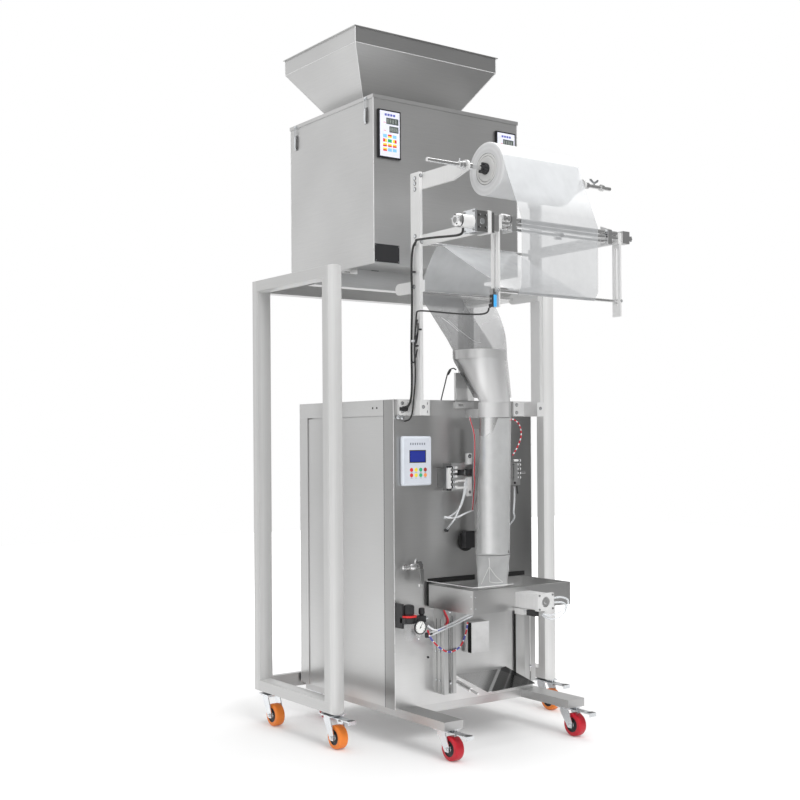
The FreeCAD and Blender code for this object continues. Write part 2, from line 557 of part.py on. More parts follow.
# film roll on its core, with a chuck in each end
SHAFT_ROOM = "shaft_round / 2 + shaft_play"
ROLL_LEFT = "roll_side - roll_wide / 2"
ROLL_RIGHT = "roll_side + roll_wide / 2"
node("film_roll", cut(
    rod(ROLL_LEFT, "roll_line", "roll_height", "roll_round / 2", "roll_wide", "x"),
    rod(ROLL_LEFT, "roll_line", "roll_height", "core_bore / 2", "roll_wide", "x")))
plugs = []
for start, chuck in ((ROLL_LEFT, ROLL_LEFT + " - chuck_long"),
                     (ROLL_RIGHT + " - plug_deep", ROLL_RIGHT)):
    solid = fuse(rod(start, "roll_line", "roll_height", "core_bore / 2", "plug_deep", "x"),
                 prism(chuck, "roll_line", "roll_height", 6, "chuck_round / 2", "chuck_long", "x"))
    room = rod("(%s) - chuck_long" % start, "roll_line", "roll_height", SHAFT_ROOM,
               "plug_deep + 2 * chuck_long", "x")
    plugs.append(cut(solid, room))
node("core_plugs", group(*plugs))

# feed: bearing plates with a folded front edge, two rollers, a clamp and the end bracket with its wing screw
END = "upright_line + upright_thick / 2"


def bearing_plate(x, flange_x):
    side = plate([
        ("bearing_front", "bearing_low"), ("bearing_back", "bearing_low"), ("bearing_back", "bearing_high"),
        ("bearing_front", "bearing_nose")], x, "bearing_thick")
    flange = block(flange_x, "bearing_front", "bearing_low", "bearing_flange", "bearing_thick / 2",
                   "bearing_nose - bearing_low")
    # the rollers run in one upright slot, and the tie bar in another
    slots = [block(x + " - 2 * bearing_flange", "(%s) - (%s) / 2 - shaft_play" % (y, wide), low + " - shaft_play",
                   "5 * bearing_flange", "%s + 2 * shaft_play" % wide, tall + " + 2 * shaft_play")
             for y, wide, low, tall in (
                 ("drive_line", "drive_round", "pinch_height", "drive_height - pinch_height + drive_round / 2"),
                 ("pinch_line", "pinch_round", "pinch_height - pinch_round / 2", "pinch_round"),
                 ("feed_line", "guide_round", "tie_bar_height - guide_round / 2", "guide_round"))]
    return cut(fuse(side, flange), fuse(*slots))


end_block = block("upright_line", "bearing_front", "end_low", "end_long", "end_deep", "end_tall")
screw = rod("upright_line + end_long - bearing_thick", "pinch_line", "end_low + end_tall / 2",
            "screw_round / 2", "screw_long", "x")
wing = block("upright_line + end_long + screw_long - wing_long - bearing_thick", "pinch_line - wing_thick / 2",
             "end_low + end_tall / 2 - wing_tall / 2", "wing_long", "wing_thick", "wing_tall")
mid_clamp = block("clamp_side - clamp_wide / 2", "feed_line + guide_round / 2 + shaft_play",
                  "tie_bar_height - guide_round", "clamp_wide", "guide_round", "2 * guide_round")
node("feed_plates", group(
    bearing_plate("-bearing_line - bearing_thick / 2", "-bearing_line - bearing_thick / 2"),
    bearing_plate("bearing_line - bearing_thick / 2", "bearing_line + bearing_thick / 2 - bearing_flange"),
    fuse(end_block, screw, wing), mid_clamp))
node("feed_rollers", group(
    cross_rod("drive_line", "drive_height", "drive_round / 2"),
    cross_rod("pinch_line", "pinch_height", "pinch_round / 2")))
GEAR_RIGHT = "-upright_line - upright_thick / 2"
node("gear_motor", fuse(
    block(GEAR_RIGHT + " - gear_long", "gear_line - gear_deep / 2", "gear_height - gear_tall / 2",
          "gear_long", "gear_deep", "gear_tall"),
    rod(GEAR_RIGHT + " - gear_long - motor_long", "motor_line", "gear_height - bearing_thick / 2",
        "motor_round / 2", "motor_long", "x"),
    block(GEAR_RIGHT, "gear_line - gear_deep / 4", "feed_arm_low + feed_arm_tall", "upright_thick",
          "gear_deep / 2", "gear_height + gear_tall / 2 - feed_arm_low - feed_arm_tall")))


def hanger(x):
    outer = block(x, "feed_line - hanger_wide / 2", "hanger_low", "hanger_thick", "hanger_wide",
                  "feed_arm_low + feed_arm_tall - hanger_low")
    low = "hanger_low + hanger_wide + hanger_slot / 2"
    slot = fuse(block(x, "feed_line - hanger_slot / 2", low, "hanger_thick", "hanger_slot", "slot_top - (%s)" % low),
                rod(x, "feed_line", low, "hanger_slot / 2", "hanger_thick", "x"),
                rod(x, "feed_line", "slot_top", "hanger_slot / 2", "hanger_thick", "x"))
    return cut(outer, slot)


node("hangers", group(hanger("-upright_line"), hanger("upright_line - hanger_thick")))
node("dancer_rod", fuse(
    rod("-upright_line - nut_thick", "feed_line", "dancer_height", "dancer_round / 2",
        "2 * upright_line + 2 * nut_thick", "x"),
    prism("-upright_line - nut_thick", "feed_line", "dancer_height", 6, "nut_round / 2", "nut_thick", "x"),
    prism("upright_line", "feed_line", "dancer_height", 6, "nut_round / 2", "nut_thick", "x")))
node("photo_eye", fuse(
    block("-upright_line - nut_thick - eye_wide", "feed_line - eye_deep / 2", "eye_low",
          "eye_wide", "eye_deep", "eye_tall"),
    block("-upright_line - nut_thick - eye_wide", "feed_line - hanger_slot", "eye_low + eye_tall - eye_plate",
          "eye_wide + nut_thick", "2 * hanger_slot", "eye_plate")))

# forming funnel: a band over a right cone that leans forward, cut level at top and bottom, and its neck
NEAR_Y = "cone_root + cone_near * sin(cone_lean * 1 deg)"
NEAR_Z = "cone_apex + cone_near * cos(cone_lean * 1 deg)"


def leaning_cone(less):
    thing = doc.addObject("Part::Cone", "Cone")
    thing.setExpression("Radius1", tied("cone_near * tan(cone_half * 1 deg) - (%s)" % less))
    thing.setExpression("Radius2", tied("cone_far * tan(cone_half * 1 deg) - (%s)" % less))
    thing.setExpression("Height", tied("cone_far - cone_near"))
    thing.Placement.Rotation = FreeCAD.Rotation(V(-1, 0, 0), SIZES["cone_lean"])
    thing.setExpression("Placement.Rotation.Angle", tied("cone_lean * 1 deg"))
    place(thing, "0", NEAR_Y, NEAR_Z)
    return thing


slab = block("-funnel_round", "funnel_line - 2 * funnel_round", "neck_high", "2 * funnel_round",
             "4 * funnel_round", "funnel_high - funnel_band - neck_high")
skirt = common(cut(leaning_cone("0"), leaning_cone("sheet_thick")), slab)
BAND_LOW = "funnel_high - funnel_band"
rim = cut(rod("0", "funnel_line", BAND_LOW, "funnel_round / 2 + sheet_thick", "funnel_band"),
          rod("0", "funnel_line", BAND_LOW, "funnel_round / 2 - sheet_thick", "funnel_band"))
neck = cut(rod("0", "neck_line", "neck_low", "neck_round / 2", "neck_high - neck_low"),
           rod("0", "neck_line", "neck_low", "neck_round / 2 - sheet_thick", "neck_high - neck_low"))
stay = cut(block("-stay_wide / 2", "neck_line", "neck_low", "stay_wide", "cabinet_front - (neck_line)",
                 "bar_low - neck_low - ring_tall"),
           rod("0", "neck_line", "neck_low", "neck_round / 2 - sheet_thick / 2", "neck_high - neck_low"))
node("forming_funnel", fuse(skirt, rim, neck, stay))
TUBE_IN = "tube_round / 2 - tube_wall"
tube = cut(rod("0", "tube_line", "tube_low", "tube_round / 2", "neck_high - tube_low"),
           rod("0", "tube_line", "tube_low", TUBE_IN, "neck_high - tube_low"))
ring = cut(rod("0", "neck_line", "neck_high - ring_tall", "neck_round / 2 - sheet_thick", "ring_tall"),
           rod("0", "tube_line", "neck_high - ring_tall", TUBE_IN, "ring_tall"))
node("forming_tube", fuse(tube, ring))

# film around the tube, flattening towards the jaws
SLEEVE = "tube_round / 2 + film_gap + film_thick"
sleeve = cut(rod("0", "tube_line", "sleeve_low", SLEEVE, "sleeve_high - sleeve_low"),
             rod("0", "tube_line", "sleeve_low", "tube_round / 2 + film_gap", "sleeve_high - sleeve_low"))
bag = wedge("0", "tube_line", "bag_low", "bag_wide", "bag_deep", "2 * (%s)" % SLEEVE, "2 * (%s)" % SLEEVE,
            "sleeve_low - bag_low")
node("film_tube", fuse(sleeve, bag))


def number(expression):
    return value(expression)


def solid_strip(points, thick, x, wide):
    # a thin strip of film, wide along +X from x, whose middle line runs through the (y, z) points
    left, right = [], []
    count = len(points)
    for i, (y, z) in enumerate(points):
        before = points[max(i - 1, 0)]
        after = points[min(i + 1, count - 1)]
        steps = []
        for start, end in ((before, (y, z)), ((y, z), after)):
            long = math.hypot(end[0] - start[0], end[1] - start[1])
            if long > 0:
                steps.append(((end[0] - start[0]) / long, (end[1] - start[1]) / long))
        across = [sum(-s[1] for s in steps), sum(s[0] for s in steps)]
        size = math.hypot(*across)
        across = [across[0] / size, across[1] / size]
        stretch = 1 / abs(across[0] * -steps[0][1] + across[1] * steps[0][0])
        reach = thick / 2 * stretch
        left.append(V(x, y + across[0] * reach, z + across[1] * reach))
        right.append(V(x, y - across[0] * reach, z - across[1] * reach))
    ring_points = left + right[::-1]
    face = Part.Face(Part.makePolygon(ring_points + [ring_points[0]]))
    return face.extrude(V(wide, 0, 0))


def solid_sheet(rows, push):
    # a thin sheet through rows of points, given its thickness by the vector push
    faces = []
    high, across = len(rows), len(rows[0])
    back = [[point + push for point in row] for row in rows]

    def triangle(a, b, c):
        faces.append(Part.Face(Part.makePolygon([a, b, c, a])))

    for i in range(high - 1):
        for j in range(across - 1):
            for grid in (rows, back):
                triangle(grid[i][j], grid[i][j + 1], grid[i + 1][j + 1])
                triangle(grid[i][j], grid[i + 1][j + 1], grid[i + 1][j])
    edge = ([(0, j) for j in range(across)] + [(i, across - 1) for i in range(1, high)]
            + [(high - 1, j) for j in range(across - 2, -1, -1)] + [(i, 0) for i in range(high - 2, 0, -1)])
    for (i, j), (k, m) in zip(edge, edge[1:] + edge[:1]):
        triangle(rows[i][j], rows[k][m], back[k][m])
        triangle(rows[i][j], back[k][m], back[i][j])
    solid = Part.Solid(Part.Shell(faces))
    if solid.Volume < 0:
        solid.reverse()
    return solid


def fixed(shape):
    # a solid made above from the sheet's sizes, set at the machine's place
    thing = doc.addObject("Part::Feature", "Sheet")
    thing.Shape = shape
    place(thing, "0", "0", "0")
    return thing


def tangent(centre, radius, point, turn_way):
    # where the line from an outside point touches a round
    dy, dz = point[0] - centre[0], point[1] - centre[1]
    far = math.hypot(dy, dz)
    angle = math.atan2(dz, dy) + turn_way * math.acos(radius / far)
    return (centre[0] + radius * math.cos(angle), centre[1] + radius * math.sin(angle))


def wrap(centre, radius, start, end, steps):
    # points round a rod from one angle to another, in degrees
    found = []
    for i in range(steps + 1):
        angle = math.radians(start + (end - start) * i / steps)
        found.append((centre[0] + radius * math.cos(angle), centre[1] + radius * math.sin(angle)))
    return found


# the web: off the roll, down over the feed, round the dancer, back over the rear rod, round the rear guide
OFF = number("film_gap + film_thick / 2")
roll_centre = (number("roll_line"), number("roll_height"))
front = number("pinch_line - pinch_round / 2") - OFF
nip = (front, number("drive_height + drive_round / 2"))
leave = tangent(roll_centre, number("roll_round / 2 + web_gap + film_thick / 2"), nip, -1)
dancer = (number("feed_line"), number("dancer_height"))
dancer_far = number("dancer_round / 2") + OFF
rear_rod = (number("rear_rod_line"), number("rear_rod_height"))
guide = (number("rear_guide_line"), number("rear_guide_height"))
rod_far = number("guide_round / 2") + OFF
path = [leave, nip, (front, number("dancer_height + nut_round"))]
path += wrap(dancer, dancer_far, 180, 290, 5)
path += wrap(rear_rod, rod_far, 118, 50, 3)
path += wrap(guide, rod_far, 45, -20, 3)
WEB_LEFT = "film_side - film_wide / 2"
strip = solid_strip(path, number("film_thick"), number(WEB_LEFT), number("film_wide"))

# the tail of the web, from the rear guide round the back of the funnel into the neck
tail_top = path[-1]
half_wide, half_tail = number("film_wide / 2"), number("tail_wide / 2")
rows = []
TAIL_ACROSS = 6
rim_back = number("funnel_line + funnel_round / 2 + sheet_thick") + 2 * OFF
rim_height, band_low, tail_low = number("funnel_high"), number(BAND_LOW), number("tail_low")
slope = math.tan(math.radians(number("cone_lean + cone_half")))
low_back = number("cone_root") + (tail_low - number("cone_apex")) * slope + 2 * OFF
start = tail_top[1] - number("web_gap")
for z in (start, (start + rim_height) / 2, rim_height, band_low, (band_low + tail_low) / 2, tail_low):
    part_down = (start - z) / (start - tail_low)
    half = half_wide + (half_tail - half_wide) * part_down ** 0.6
    side = number("film_side") * (1 - part_down)
    if z > rim_height:
        middle = tail_top[0] + (rim_back - tail_top[0]) * (start - z) / (start - rim_height)
    else:
        middle = low_back + (rim_back - low_back) * (min(z, band_low) - tail_low) / (band_low - tail_low)
    wrap_deep = 0.5 * number("neck_round / 2") * min(1.0, part_down * 1.1)
    row = []
    for j in range(TAIL_ACROSS + 1):
        share = 2 * j / TAIL_ACROSS - 1
        row.append(V(side + half * share, middle - wrap_deep * share * share, z))
    rows.append(row)
node("film_web", group(fixed(strip), fixed(solid_sheet(rows, V(0, number("film_thick"), 0)))))

# sealing jaws in their housing on the cabinet's front
JAW_LEFT = "jaw_side - jaw_wide / 2"
housing = cut(
    block(JAW_LEFT, "jaw_front", "jaw_low", "jaw_wide", "cabinet_front - jaw_front", "jaw_tall"),
    block(JAW_LEFT + " + jaw_wall", "jaw_front + jaw_wall", "jaw_low",
          "jaw_wide - 2 * jaw_wall", "cabinet_front - jaw_front - 2 * jaw_wall", "jaw_tall"))
node("jaw_frame", housing)
jaws = (
    block("jaw_side - clamp_long / 2", "jaw_front + jaw_wall", "clamp_low", "clamp_long", "clamp_deep", "clamp_tall"),
    block("jaw_side - clamp_long / 2", "cabinet_front - jaw_wall - clamp_deep", "clamp_low",
          "clamp_long", "clamp_deep", "clamp_tall"))
RAM_LEFT = "ram_side - ram_wide / 2"
RAM_END = "jaw_front - ram_long - ram_cover"
barrel = block(RAM_LEFT + " + ram_dish", "jaw_front - ram_long", "ram_low + ram_dish",
               "ram_wide - 2 * ram_dish", "ram_long", "ram_tall - 2 * ram_dish")
cover = cut(block(RAM_LEFT, RAM_END, "ram_low", "ram_wide", "ram_cover", "ram_tall"),
            rod("ram_side", RAM_END, "ram_low + ram_tall / 2", "ram_round / 2", "ram_dish", "y"))
ports = block(RAM_LEFT, "jaw_front - ram_block * 2", "ram_low - ram_block", "ram_block", "ram_block * 2", "ram_block")
node("jaw_cylinder", fuse(barrel, cover, ports))


def channel(mid):
    outer = block(mid + " - channel_wide / 2", "cabinet_front - channel_deep", "channel_low",
                  "channel_wide", "channel_deep", "jaw_low - channel_low")
    slot = block(mid + " - channel_slot / 2", "cabinet_front - channel_deep", "channel_low",
                 "channel_slot", "channel_groove", "jaw_low - channel_low")
    return cut(outer, slot)


node("jaw_supports", group(channel("channel_left"), channel("channel_right")))
node("control_unit", block("unit_side - unit_wide / 2", "cabinet_front - unit_thick", "unit_high - unit_tall / 2",
                           "unit_wide", "unit_thick", "unit_tall"))

# back seal bar on its stem, the cylinder block with its threaded posts, and the fittings at the right
SEAL_BACK = "seal_front + seal_deep"
seal = fuse(
    block("-seal_wide / 2", "seal_front", "seal_low", "seal_wide", "seal_deep", "seal_high - seal_low"),
    block("-seal_wide / 2", SEAL_BACK, "seal_stem_low", "seal_wide", "cabinet_front - (%s)" % SEAL_BACK,
          "seal_stem_high - seal_stem_low"))
BLOCK_LEFT = "-seal_wide / 2 - seal_block_wide"
cylinder_block = block(BLOCK_LEFT, "cabinet_front - seal_block_deep", "seal_block_low", "seal_block_wide",
                       "seal_block_deep", "seal_block_high - seal_block_low")
side_block = block("side_left", "cabinet_front - side_deep", "side_low", "side_wide", "side_deep", "side_tall")
node("sealing_bars", group(fuse(seal, cylinder_block), side_block, *jaws))

# brackets on the cabinet's front and cap
slotted_bar = cut(
    block("bar_side - bar_wide / 2", "cabinet_front - bar_thick", "bar_low", "bar_wide", "bar_thick", "bar_tall"),
    block("bar_side - bar_wide / 2 + bar_inset", "cabinet_front - bar_thick", "bar_low + bar_tall / 2 - bar_slot / 2",
          "bar_wide / 2 - 1.5 * bar_inset", "bar_thick", "bar_slot"))
node("front_brackets", group(
    slotted_bar,
    block("cap_post_side - cap_post_wide / 2 + stay_wide / 2", "cap_post_line", "cabinet_top",
          "cap_post_wide", "cap_post_thick", "cap_post_tall"),
    block("box_side - box_wide / 2", "cabinet_front - box_deep", "box_low", "box_wide", "box_deep", "box_tall")))

# discharge chute: one sheet with a fold from its back right to its front left, over a small strut
wall_y, front_y = number("cabinet_front"), number("chute_line")
chute = solid_sheet([
    [V(number("chute_left"), wall_y, number("chute_high")), V(number("chute_valley"), wall_y, number("chute_fold")),
     V(number("chute_right"), wall_y, number("chute_high"))],
    [V(number("chute_front_left"), front_y, number("chute_front_low")),
     V(number("chute_front_left + chute_thick"), front_y, number("chute_front_low")),
     V(number("chute_front_right"), front_y, number("chute_front_side"))]],
    V(0, 0, -number("chute_thick")))


def strut(radius, start, length):
    # a piece of the strut: it runs forward from the cabinet and falls
    thing = doc.addObject("Part::Cylinder", "Strut")
    thing.setExpression("Radius", tied(radius))
    thing.setExpression("Height", tied(length))
    thing.Placement.Rotation = FreeCAD.Rotation(V(1, 0, 0), 90 + SIZES["strut_fall"])
    thing.setExpression("Placement.Rotation.Angle", tied("(90 + strut_fall) * 1 deg"))
    place(thing, "strut_side", "cabinet_front - (%s) * cos(strut_fall * 1 deg)" % start,
          "strut_height - (%s) * sin(strut_fall * 1 deg)" % start)
    return thing


node("discharge_chute", group(fixed(chute), fuse(
    block("strut_side - strut_round / 2", "cabinet_front - strut_round / 2", "strut_height - strut_round / 2",
          "strut_round", "strut_round / 2", "strut_round"),
    strut("strut_round / 2", "strut_round / 4", "strut_long"), strut("strut_rod / 2", "strut_long", "strut_reach"))))

# air unit with its bowls, and the shut-off valve above it
AIR_FRONT = "air_line - air_deep / 2"
air = fuse(
    block("air_left", AIR_FRONT, "air_low", "air_wide", "cabinet_front - (%s)" % AIR_FRONT, "air_tall"),
    prism("knob_side", "air_line", "air_low + air_tall", 16, "collar_round / 2", "collar_tall"),
    prism("knob_side", "air_line", "air_low + air_tall + collar_tall", 16, "knob_round / 2", "knob_tall"),
    block("air_left", "air_line", "air_back_low", "air_back_wide", "cabinet_front - (air_line)", "air_back_tall"),
    rod("gauge_side", AIR_FRONT + " - gauge_deep", "gauge_height", "gauge_round / 2", "gauge_deep", "y"))
node("air_bowls", rod("bowl_left", "air_line", "air_low - bowl_tall", "bowl_round / 2", "bowl_tall"))
valve = fuse(
    rod("valve_left", "valve_line", "valve_height", "spout_round / 2", "spout_long + valve_long", "x"),
    prism("valve_left + spout_long / 2", "valve_line", "valve_height", 6, "valve_round / 2", "valve_long / 2", "x"),
    block("lever_side - lever_deep / 2", "valve_line - valve_round / 2 - lever_plate / 2", "lever_low", "lever_deep",
          "lever_plate", "valve_height - lever_low + lever_deep / 2"),
    block("lever_side - valve_stem / 2", "valve_line", "valve_height - valve_stem / 2", "valve_stem",
          "cabinet_front - (valve_line)", "valve_stem"))
node("air_unit", group(air, valve))


# cords along the left upright: straight runs joined by tangent arcs
def cord(label, points, wide):
    corners = [V(x, y + number("mid_back"), z) for x, y, z in points]
    edges, radii = [], []
    start = corners[0]
    length = 0.0
    for i in range(1, len(corners) - 1):
        into, away = corners[i] - corners[i - 1], corners[i + 1] - corners[i]
        turn_angle = into.getAngle(away)
        reach = 0.45 * min(into.Length, away.Length)
        radius = reach / math.tan(turn_angle / 2)
        radii.append(round(radius, 1))
        into.normalize()
        away.normalize()
        touch, leave_at = corners[i] - into * reach, corners[i] + away * reach
        inward = (away - into).normalize()
        middle = corners[i] + inward * (math.hypot(reach, radius) - radius)
        edges.append(Part.LineSegment(start, touch).toShape())
        edges.append(Part.Arc(touch, middle, leave_at).toShape())
        length += (touch - start).Length + radius * turn_angle
        start = leave_at
    edges.append(Part.LineSegment(start, corners[-1]).toShape())
    length += (corners[-1] - start).Length
    spine = Part.Wire(edges)
    along = corners[1] - corners[0]
    turned = FreeCAD.Rotation(V(0, 0, 1), along)
    rim_points = [corners[0] + turned.multVec(V(wide / 2 * math.cos(k * math.pi / 3),
                                                wide / 2 * math.sin(k * math.pi / 3), 0)) for k in range(6)]
    section = Part.Face(Part.makePolygon(rim_points + rim_points[:1]))
    tube_shape = spine.makePipe(section)
    ideal = section.Area * length
    print(label, "length", round(length), "radii", radii, "volume share", round(tube_shape.Volume / ideal, 4))
    thing = doc.addObject("Part::Feature", "Cord")
    thing.Shape = tube_shape
    return node(label, thing)


MOTOR_CORD = [(-374, -812, 1549.8), (-374, -812, 1536), (-377, -795, 1532), (-370, -755, 1536), (-351, -645, 1549),
              (-321, -525, 1562), (-292, -480, 1569), (-266, -450, 1574), (-262, -423, 1560), (-262, -416, 1500),
              (-262, -420, 1400), (-262, -413, 1250), (-262, -416, 1146), (-262, -413, 1095), (-264, -404, 1068),
              (-271, -395, 1062), (-272, -383.4, 1062)]
EYE_CORD = [(-262, -788, 1335.8), (-262, -788, 1325), (-266, -768, 1319), (-268, -710, 1324), (-276, -650, 1331),
            (-288, -525, 1350), (-277, -465, 1356), (-262, -441, 1350), (-260, -434, 1310), (-260, -425, 1250),
            (-260, -434, 1160), (-261.5, -424, 1092), (-262, -420, 1059), (-262, -412, 1032), (-262, -396, 1020),
            (-262, -375.6, 1019)]
cord("motor_cord", MOTOR_CORD, number("motor_cord"))
cord("eye_cord", EYE_CORD, number("eye_cord"))

doc.recompute()
for thing in doc.Objects:
    if any(word in thing.State for word in ("Invalid", "Error")):
        raise RuntimeError("failed: %s %s %s" % (thing.Name, thing.Label, thing.State))
os.makedirs("parts", exist_ok=True)
total = 0.0
for thing in NODES:
    shape = thing.Shape
    if shape.isNull() or not shape.isValid():
        raise RuntimeError("bad shape: " + thing.Label)
    total += shape.Volume
    shape.exportStep("parts/%s.step" % thing.Label)
print("nodes", len(NODES), "volume m3", round(total / 1e9, 4))
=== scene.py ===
import bpy
import bmesh
import math
from mathutils import Matrix, Vector


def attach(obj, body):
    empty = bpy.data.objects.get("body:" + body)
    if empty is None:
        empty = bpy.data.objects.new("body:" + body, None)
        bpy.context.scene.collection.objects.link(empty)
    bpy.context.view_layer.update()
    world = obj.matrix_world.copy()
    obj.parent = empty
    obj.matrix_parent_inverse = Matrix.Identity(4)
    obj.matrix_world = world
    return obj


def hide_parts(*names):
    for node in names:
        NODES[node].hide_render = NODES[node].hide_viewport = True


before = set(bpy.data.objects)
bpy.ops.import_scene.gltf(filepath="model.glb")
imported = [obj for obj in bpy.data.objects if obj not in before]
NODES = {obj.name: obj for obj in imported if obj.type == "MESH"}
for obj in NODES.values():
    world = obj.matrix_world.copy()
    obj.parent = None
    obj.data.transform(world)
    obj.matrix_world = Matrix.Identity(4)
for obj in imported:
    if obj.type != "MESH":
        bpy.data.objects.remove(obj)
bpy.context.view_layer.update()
MID_BACK = 283.0            # the machine's own y = 0 lies this far behind the frame's origin
LEFT, RIGHT, FRONT, UP, DOWN = (-1, 0, 0), (1, 0, 0), (0, -1, 0), (0, 0, 1), (0, 0, -1)


def P(x, y, z):
    """Machine millimetres to the frame's metres."""
    return Vector((x / 1000, (y + MID_BACK) / 1000, z / 1000))


# ---------------------------------------------------------------- camera, fitted to the photograph
PHOTO_PX, FOCAL_PX, CENTRE_V, SENSOR = 800, 1205.9, 437.31, 36.0
YAW, PITCH, ROLL = (math.radians(a) for a in (35.859, 0.149, -0.374))
ahead = Vector((math.sin(YAW) * math.cos(PITCH), math.cos(YAW) * math.cos(PITCH), math.sin(PITCH)))
level = Vector((math.cos(YAW), -math.sin(YAW), 0.0))
upright = level.cross(ahead)
right = math.cos(ROLL) * level + math.sin(ROLL) * upright
top = math.cos(ROLL) * upright - math.sin(ROLL) * level
cam_data = bpy.data.cameras.new("camera")
cam_data.sensor_width = SENSOR
cam_data.lens = FOCAL_PX * SENSOR / PHOTO_PX
cam_data.shift_y = (CENTRE_V - PHOTO_PX / 2) / PHOTO_PX
cam_data.clip_end = 60
cam = bpy.data.objects.new("camera", cam_data)
place = Matrix((right, top, -ahead)).transposed().to_4x4()
place.translation = P(-2489.0, -3431.5, 958.57)
cam.matrix_world = place
bpy.context.scene.collection.objects.link(cam)
bpy.context.scene.camera = cam


# ---------------------------------------------------------------- materials
class Tree:
    """Short ways to add nodes to a node tree."""

    def __init__(self, nt, coord="Object"):
        self.nt = nt
        self.coord = self.node("ShaderNodeTexCoord").outputs[coord]

    def node(self, kind, **props):
        n = self.nt.nodes.new(kind)
        for key, val in props.items():
            setattr(n, key, val)
        return n

    def link(self, a, b):
        self.nt.links.new(a, b)

    def noise(self, scale, stretch=(1, 1, 1), detail=2.0):
        mp = self.node("ShaderNodeMapping")
        mp.inputs["Scale"].default_value = stretch
        self.link(self.coord, mp.inputs["Vector"])
        n = self.node("ShaderNodeTexNoise")
        n.inputs["Scale"].default_value = scale
        n.inputs["Detail"].default_value = detail
        self.link(mp.outputs["Vector"], n.inputs["Vector"])
        return n.outputs["Fac"]

    def rng(self, value, low, high, lo=0.3, hi=0.7, kind="LINEAR"):
        """The value's run from lo to hi becomes low to high."""
        r = self.node("ShaderNodeMapRange", interpolation_type=kind)
        for key, val in (("From Min", lo), ("From Max", hi), ("To Min", low), ("To Max", high)):
            r.inputs[key].default_value = val
        self.link(value, r.inputs["Value"])
        return r.outputs["Result"]

    def math(self, op, a, b):
        n = self.node("ShaderNodeMath", operation=op)
        for i, v in enumerate((a, b)):
            if isinstance(v, (int, float)):
                n.inputs[i].default_value = v
            else:
                self.link(v, n.inputs[i])
        return n.outputs[0]

    def add(self, a, b):
        return self.math("ADD", a, b)

    def sub(self, a, b):
        return self.math("SUBTRACT", a, b)

    def mul(self, a, b):
        return self.math("MULTIPLY", a, b)

    def axis(self, index):
        sep = self.node("ShaderNodeSeparateXYZ")
        self.link(self.coord, sep.inputs[0])
        return sep.outputs[index]

    def ramp(self, value, stops, kind="LINEAR"):
        """Grey tones along a value from 0 to 1; stops are (place, tone)."""
        r = self.node("ShaderNodeValToRGB")
        r.color_ramp.interpolation = kind
        el = r.color_ramp.elements
        while len(el) < len(stops):
            el.new(0.5)
        for e, (spot, tone) in zip(el, stops):
            e.position, e.color = spot, (tone, tone, tone, 1)
        self.link(value, r.inputs[0])
        sep = self.node("ShaderNodeSeparateColor")
        self.link(r.outputs[0], sep.inputs[0])
        return sep.outputs[0]


class Mat(Tree):
    """A node material built round one Principled shader."""

    def __init__(self, name, color, rough=0.5, metallic=0.0, **sockets):
        self.m = bpy.data.materials.new(name)
        self.m.use_nodes = True
        super().__init__(self.m.node_tree)
        self.p = self.nt.nodes["Principled BSDF"]
        self.color, self.rough, self.height = color, rough, None
        for key, val in {"Base Color": (*color, 1), "Roughness": rough, "Metallic": metallic, **sockets}.items():
            self.p.inputs[key.replace("_", " ")].default_value = val

    def tint(self, factor):
        """Multiplies the base colour by a grey factor."""
        mix = self.node("ShaderNodeMix", data_type="RGBA", blend_type="MULTIPLY")
        mix.inputs["Factor"].default_value = 1.0
        src = self.p.inputs["Base Color"]
        if src.is_linked:
            self.link(src.links[0].from_socket, mix.inputs["A"])
        else:
            mix.inputs["A"].default_value = (*self.color, 1)
        comb = self.node("ShaderNodeCombineColor")
        for i in range(3):
            self.link(factor, comb.inputs[i])
        self.link(comb.outputs[0], mix.inputs["B"])
        self.link(mix.outputs["Result"], src)
        return self

    def bump(self, value, strength=0.1, distance=0.001):
        b = self.node("ShaderNodeBump")
        b.inputs["Strength"].default_value = strength
        b.inputs["Distance"].default_value = distance
        self.link(value, b.inputs["Height"])
        if self.height is not None:
            self.link(self.height, b.inputs["Normal"])
        self.height = b.outputs["Normal"]
        self.link(self.height, self.p.inputs["Normal"])
        return self

    def vary_rough(self, value, spread):
        self.link(self.rng(value, self.rough - spread, self.rough + spread), self.p.inputs["Roughness"])
        return self


def brushed(name, base, rough, along="h", amount=0.07, cloud=0.05, metallic=1.0):
    """Brushed sheet: h for level strokes on upright faces, v for upright strokes, x or y along that axis."""
    mt = Mat(name, (base, base, base * 0.995), rough, metallic)
    stretch = {"h": (1.4, 1.4, 110), "v": (110, 110, 1.0), "x": (1.2, 110, 110), "y": (110, 1.2, 110)}[along]
    fine = mt.noise(14.0, stretch, 3.0)
    wide = mt.noise(2.6, stretch, 2.0)
    soft = mt.noise(3.2, (1, 1, 1), 1.0)
    a = mt.rng(fine, 1 - amount, 1 + amount)
    b = mt.rng(wide, 1 - amount * 0.35, 1 + amount * 0.35)
    c = mt.rng(soft, 1 - cloud, 1 + cloud)
    mt.tint(mt.mul(mt.mul(a, b), c))
    mt.vary_rough(fine, 0.02)
    return mt


def shine(name, base, rough, metallic=1.0):
    """Polished or cast metal with faint unevenness."""
    color = base if isinstance(base, tuple) else (base, base, base)
    mt = Mat(name, color, rough, metallic)
    n = mt.noise(38.0, (1, 1, 1), 3.0)
    mt.tint(mt.rng(n, 0.94, 1.05)).vary_rough(mt.noise(12.0), 0.04).bump(n, 0.04, 0.0005)
    return mt


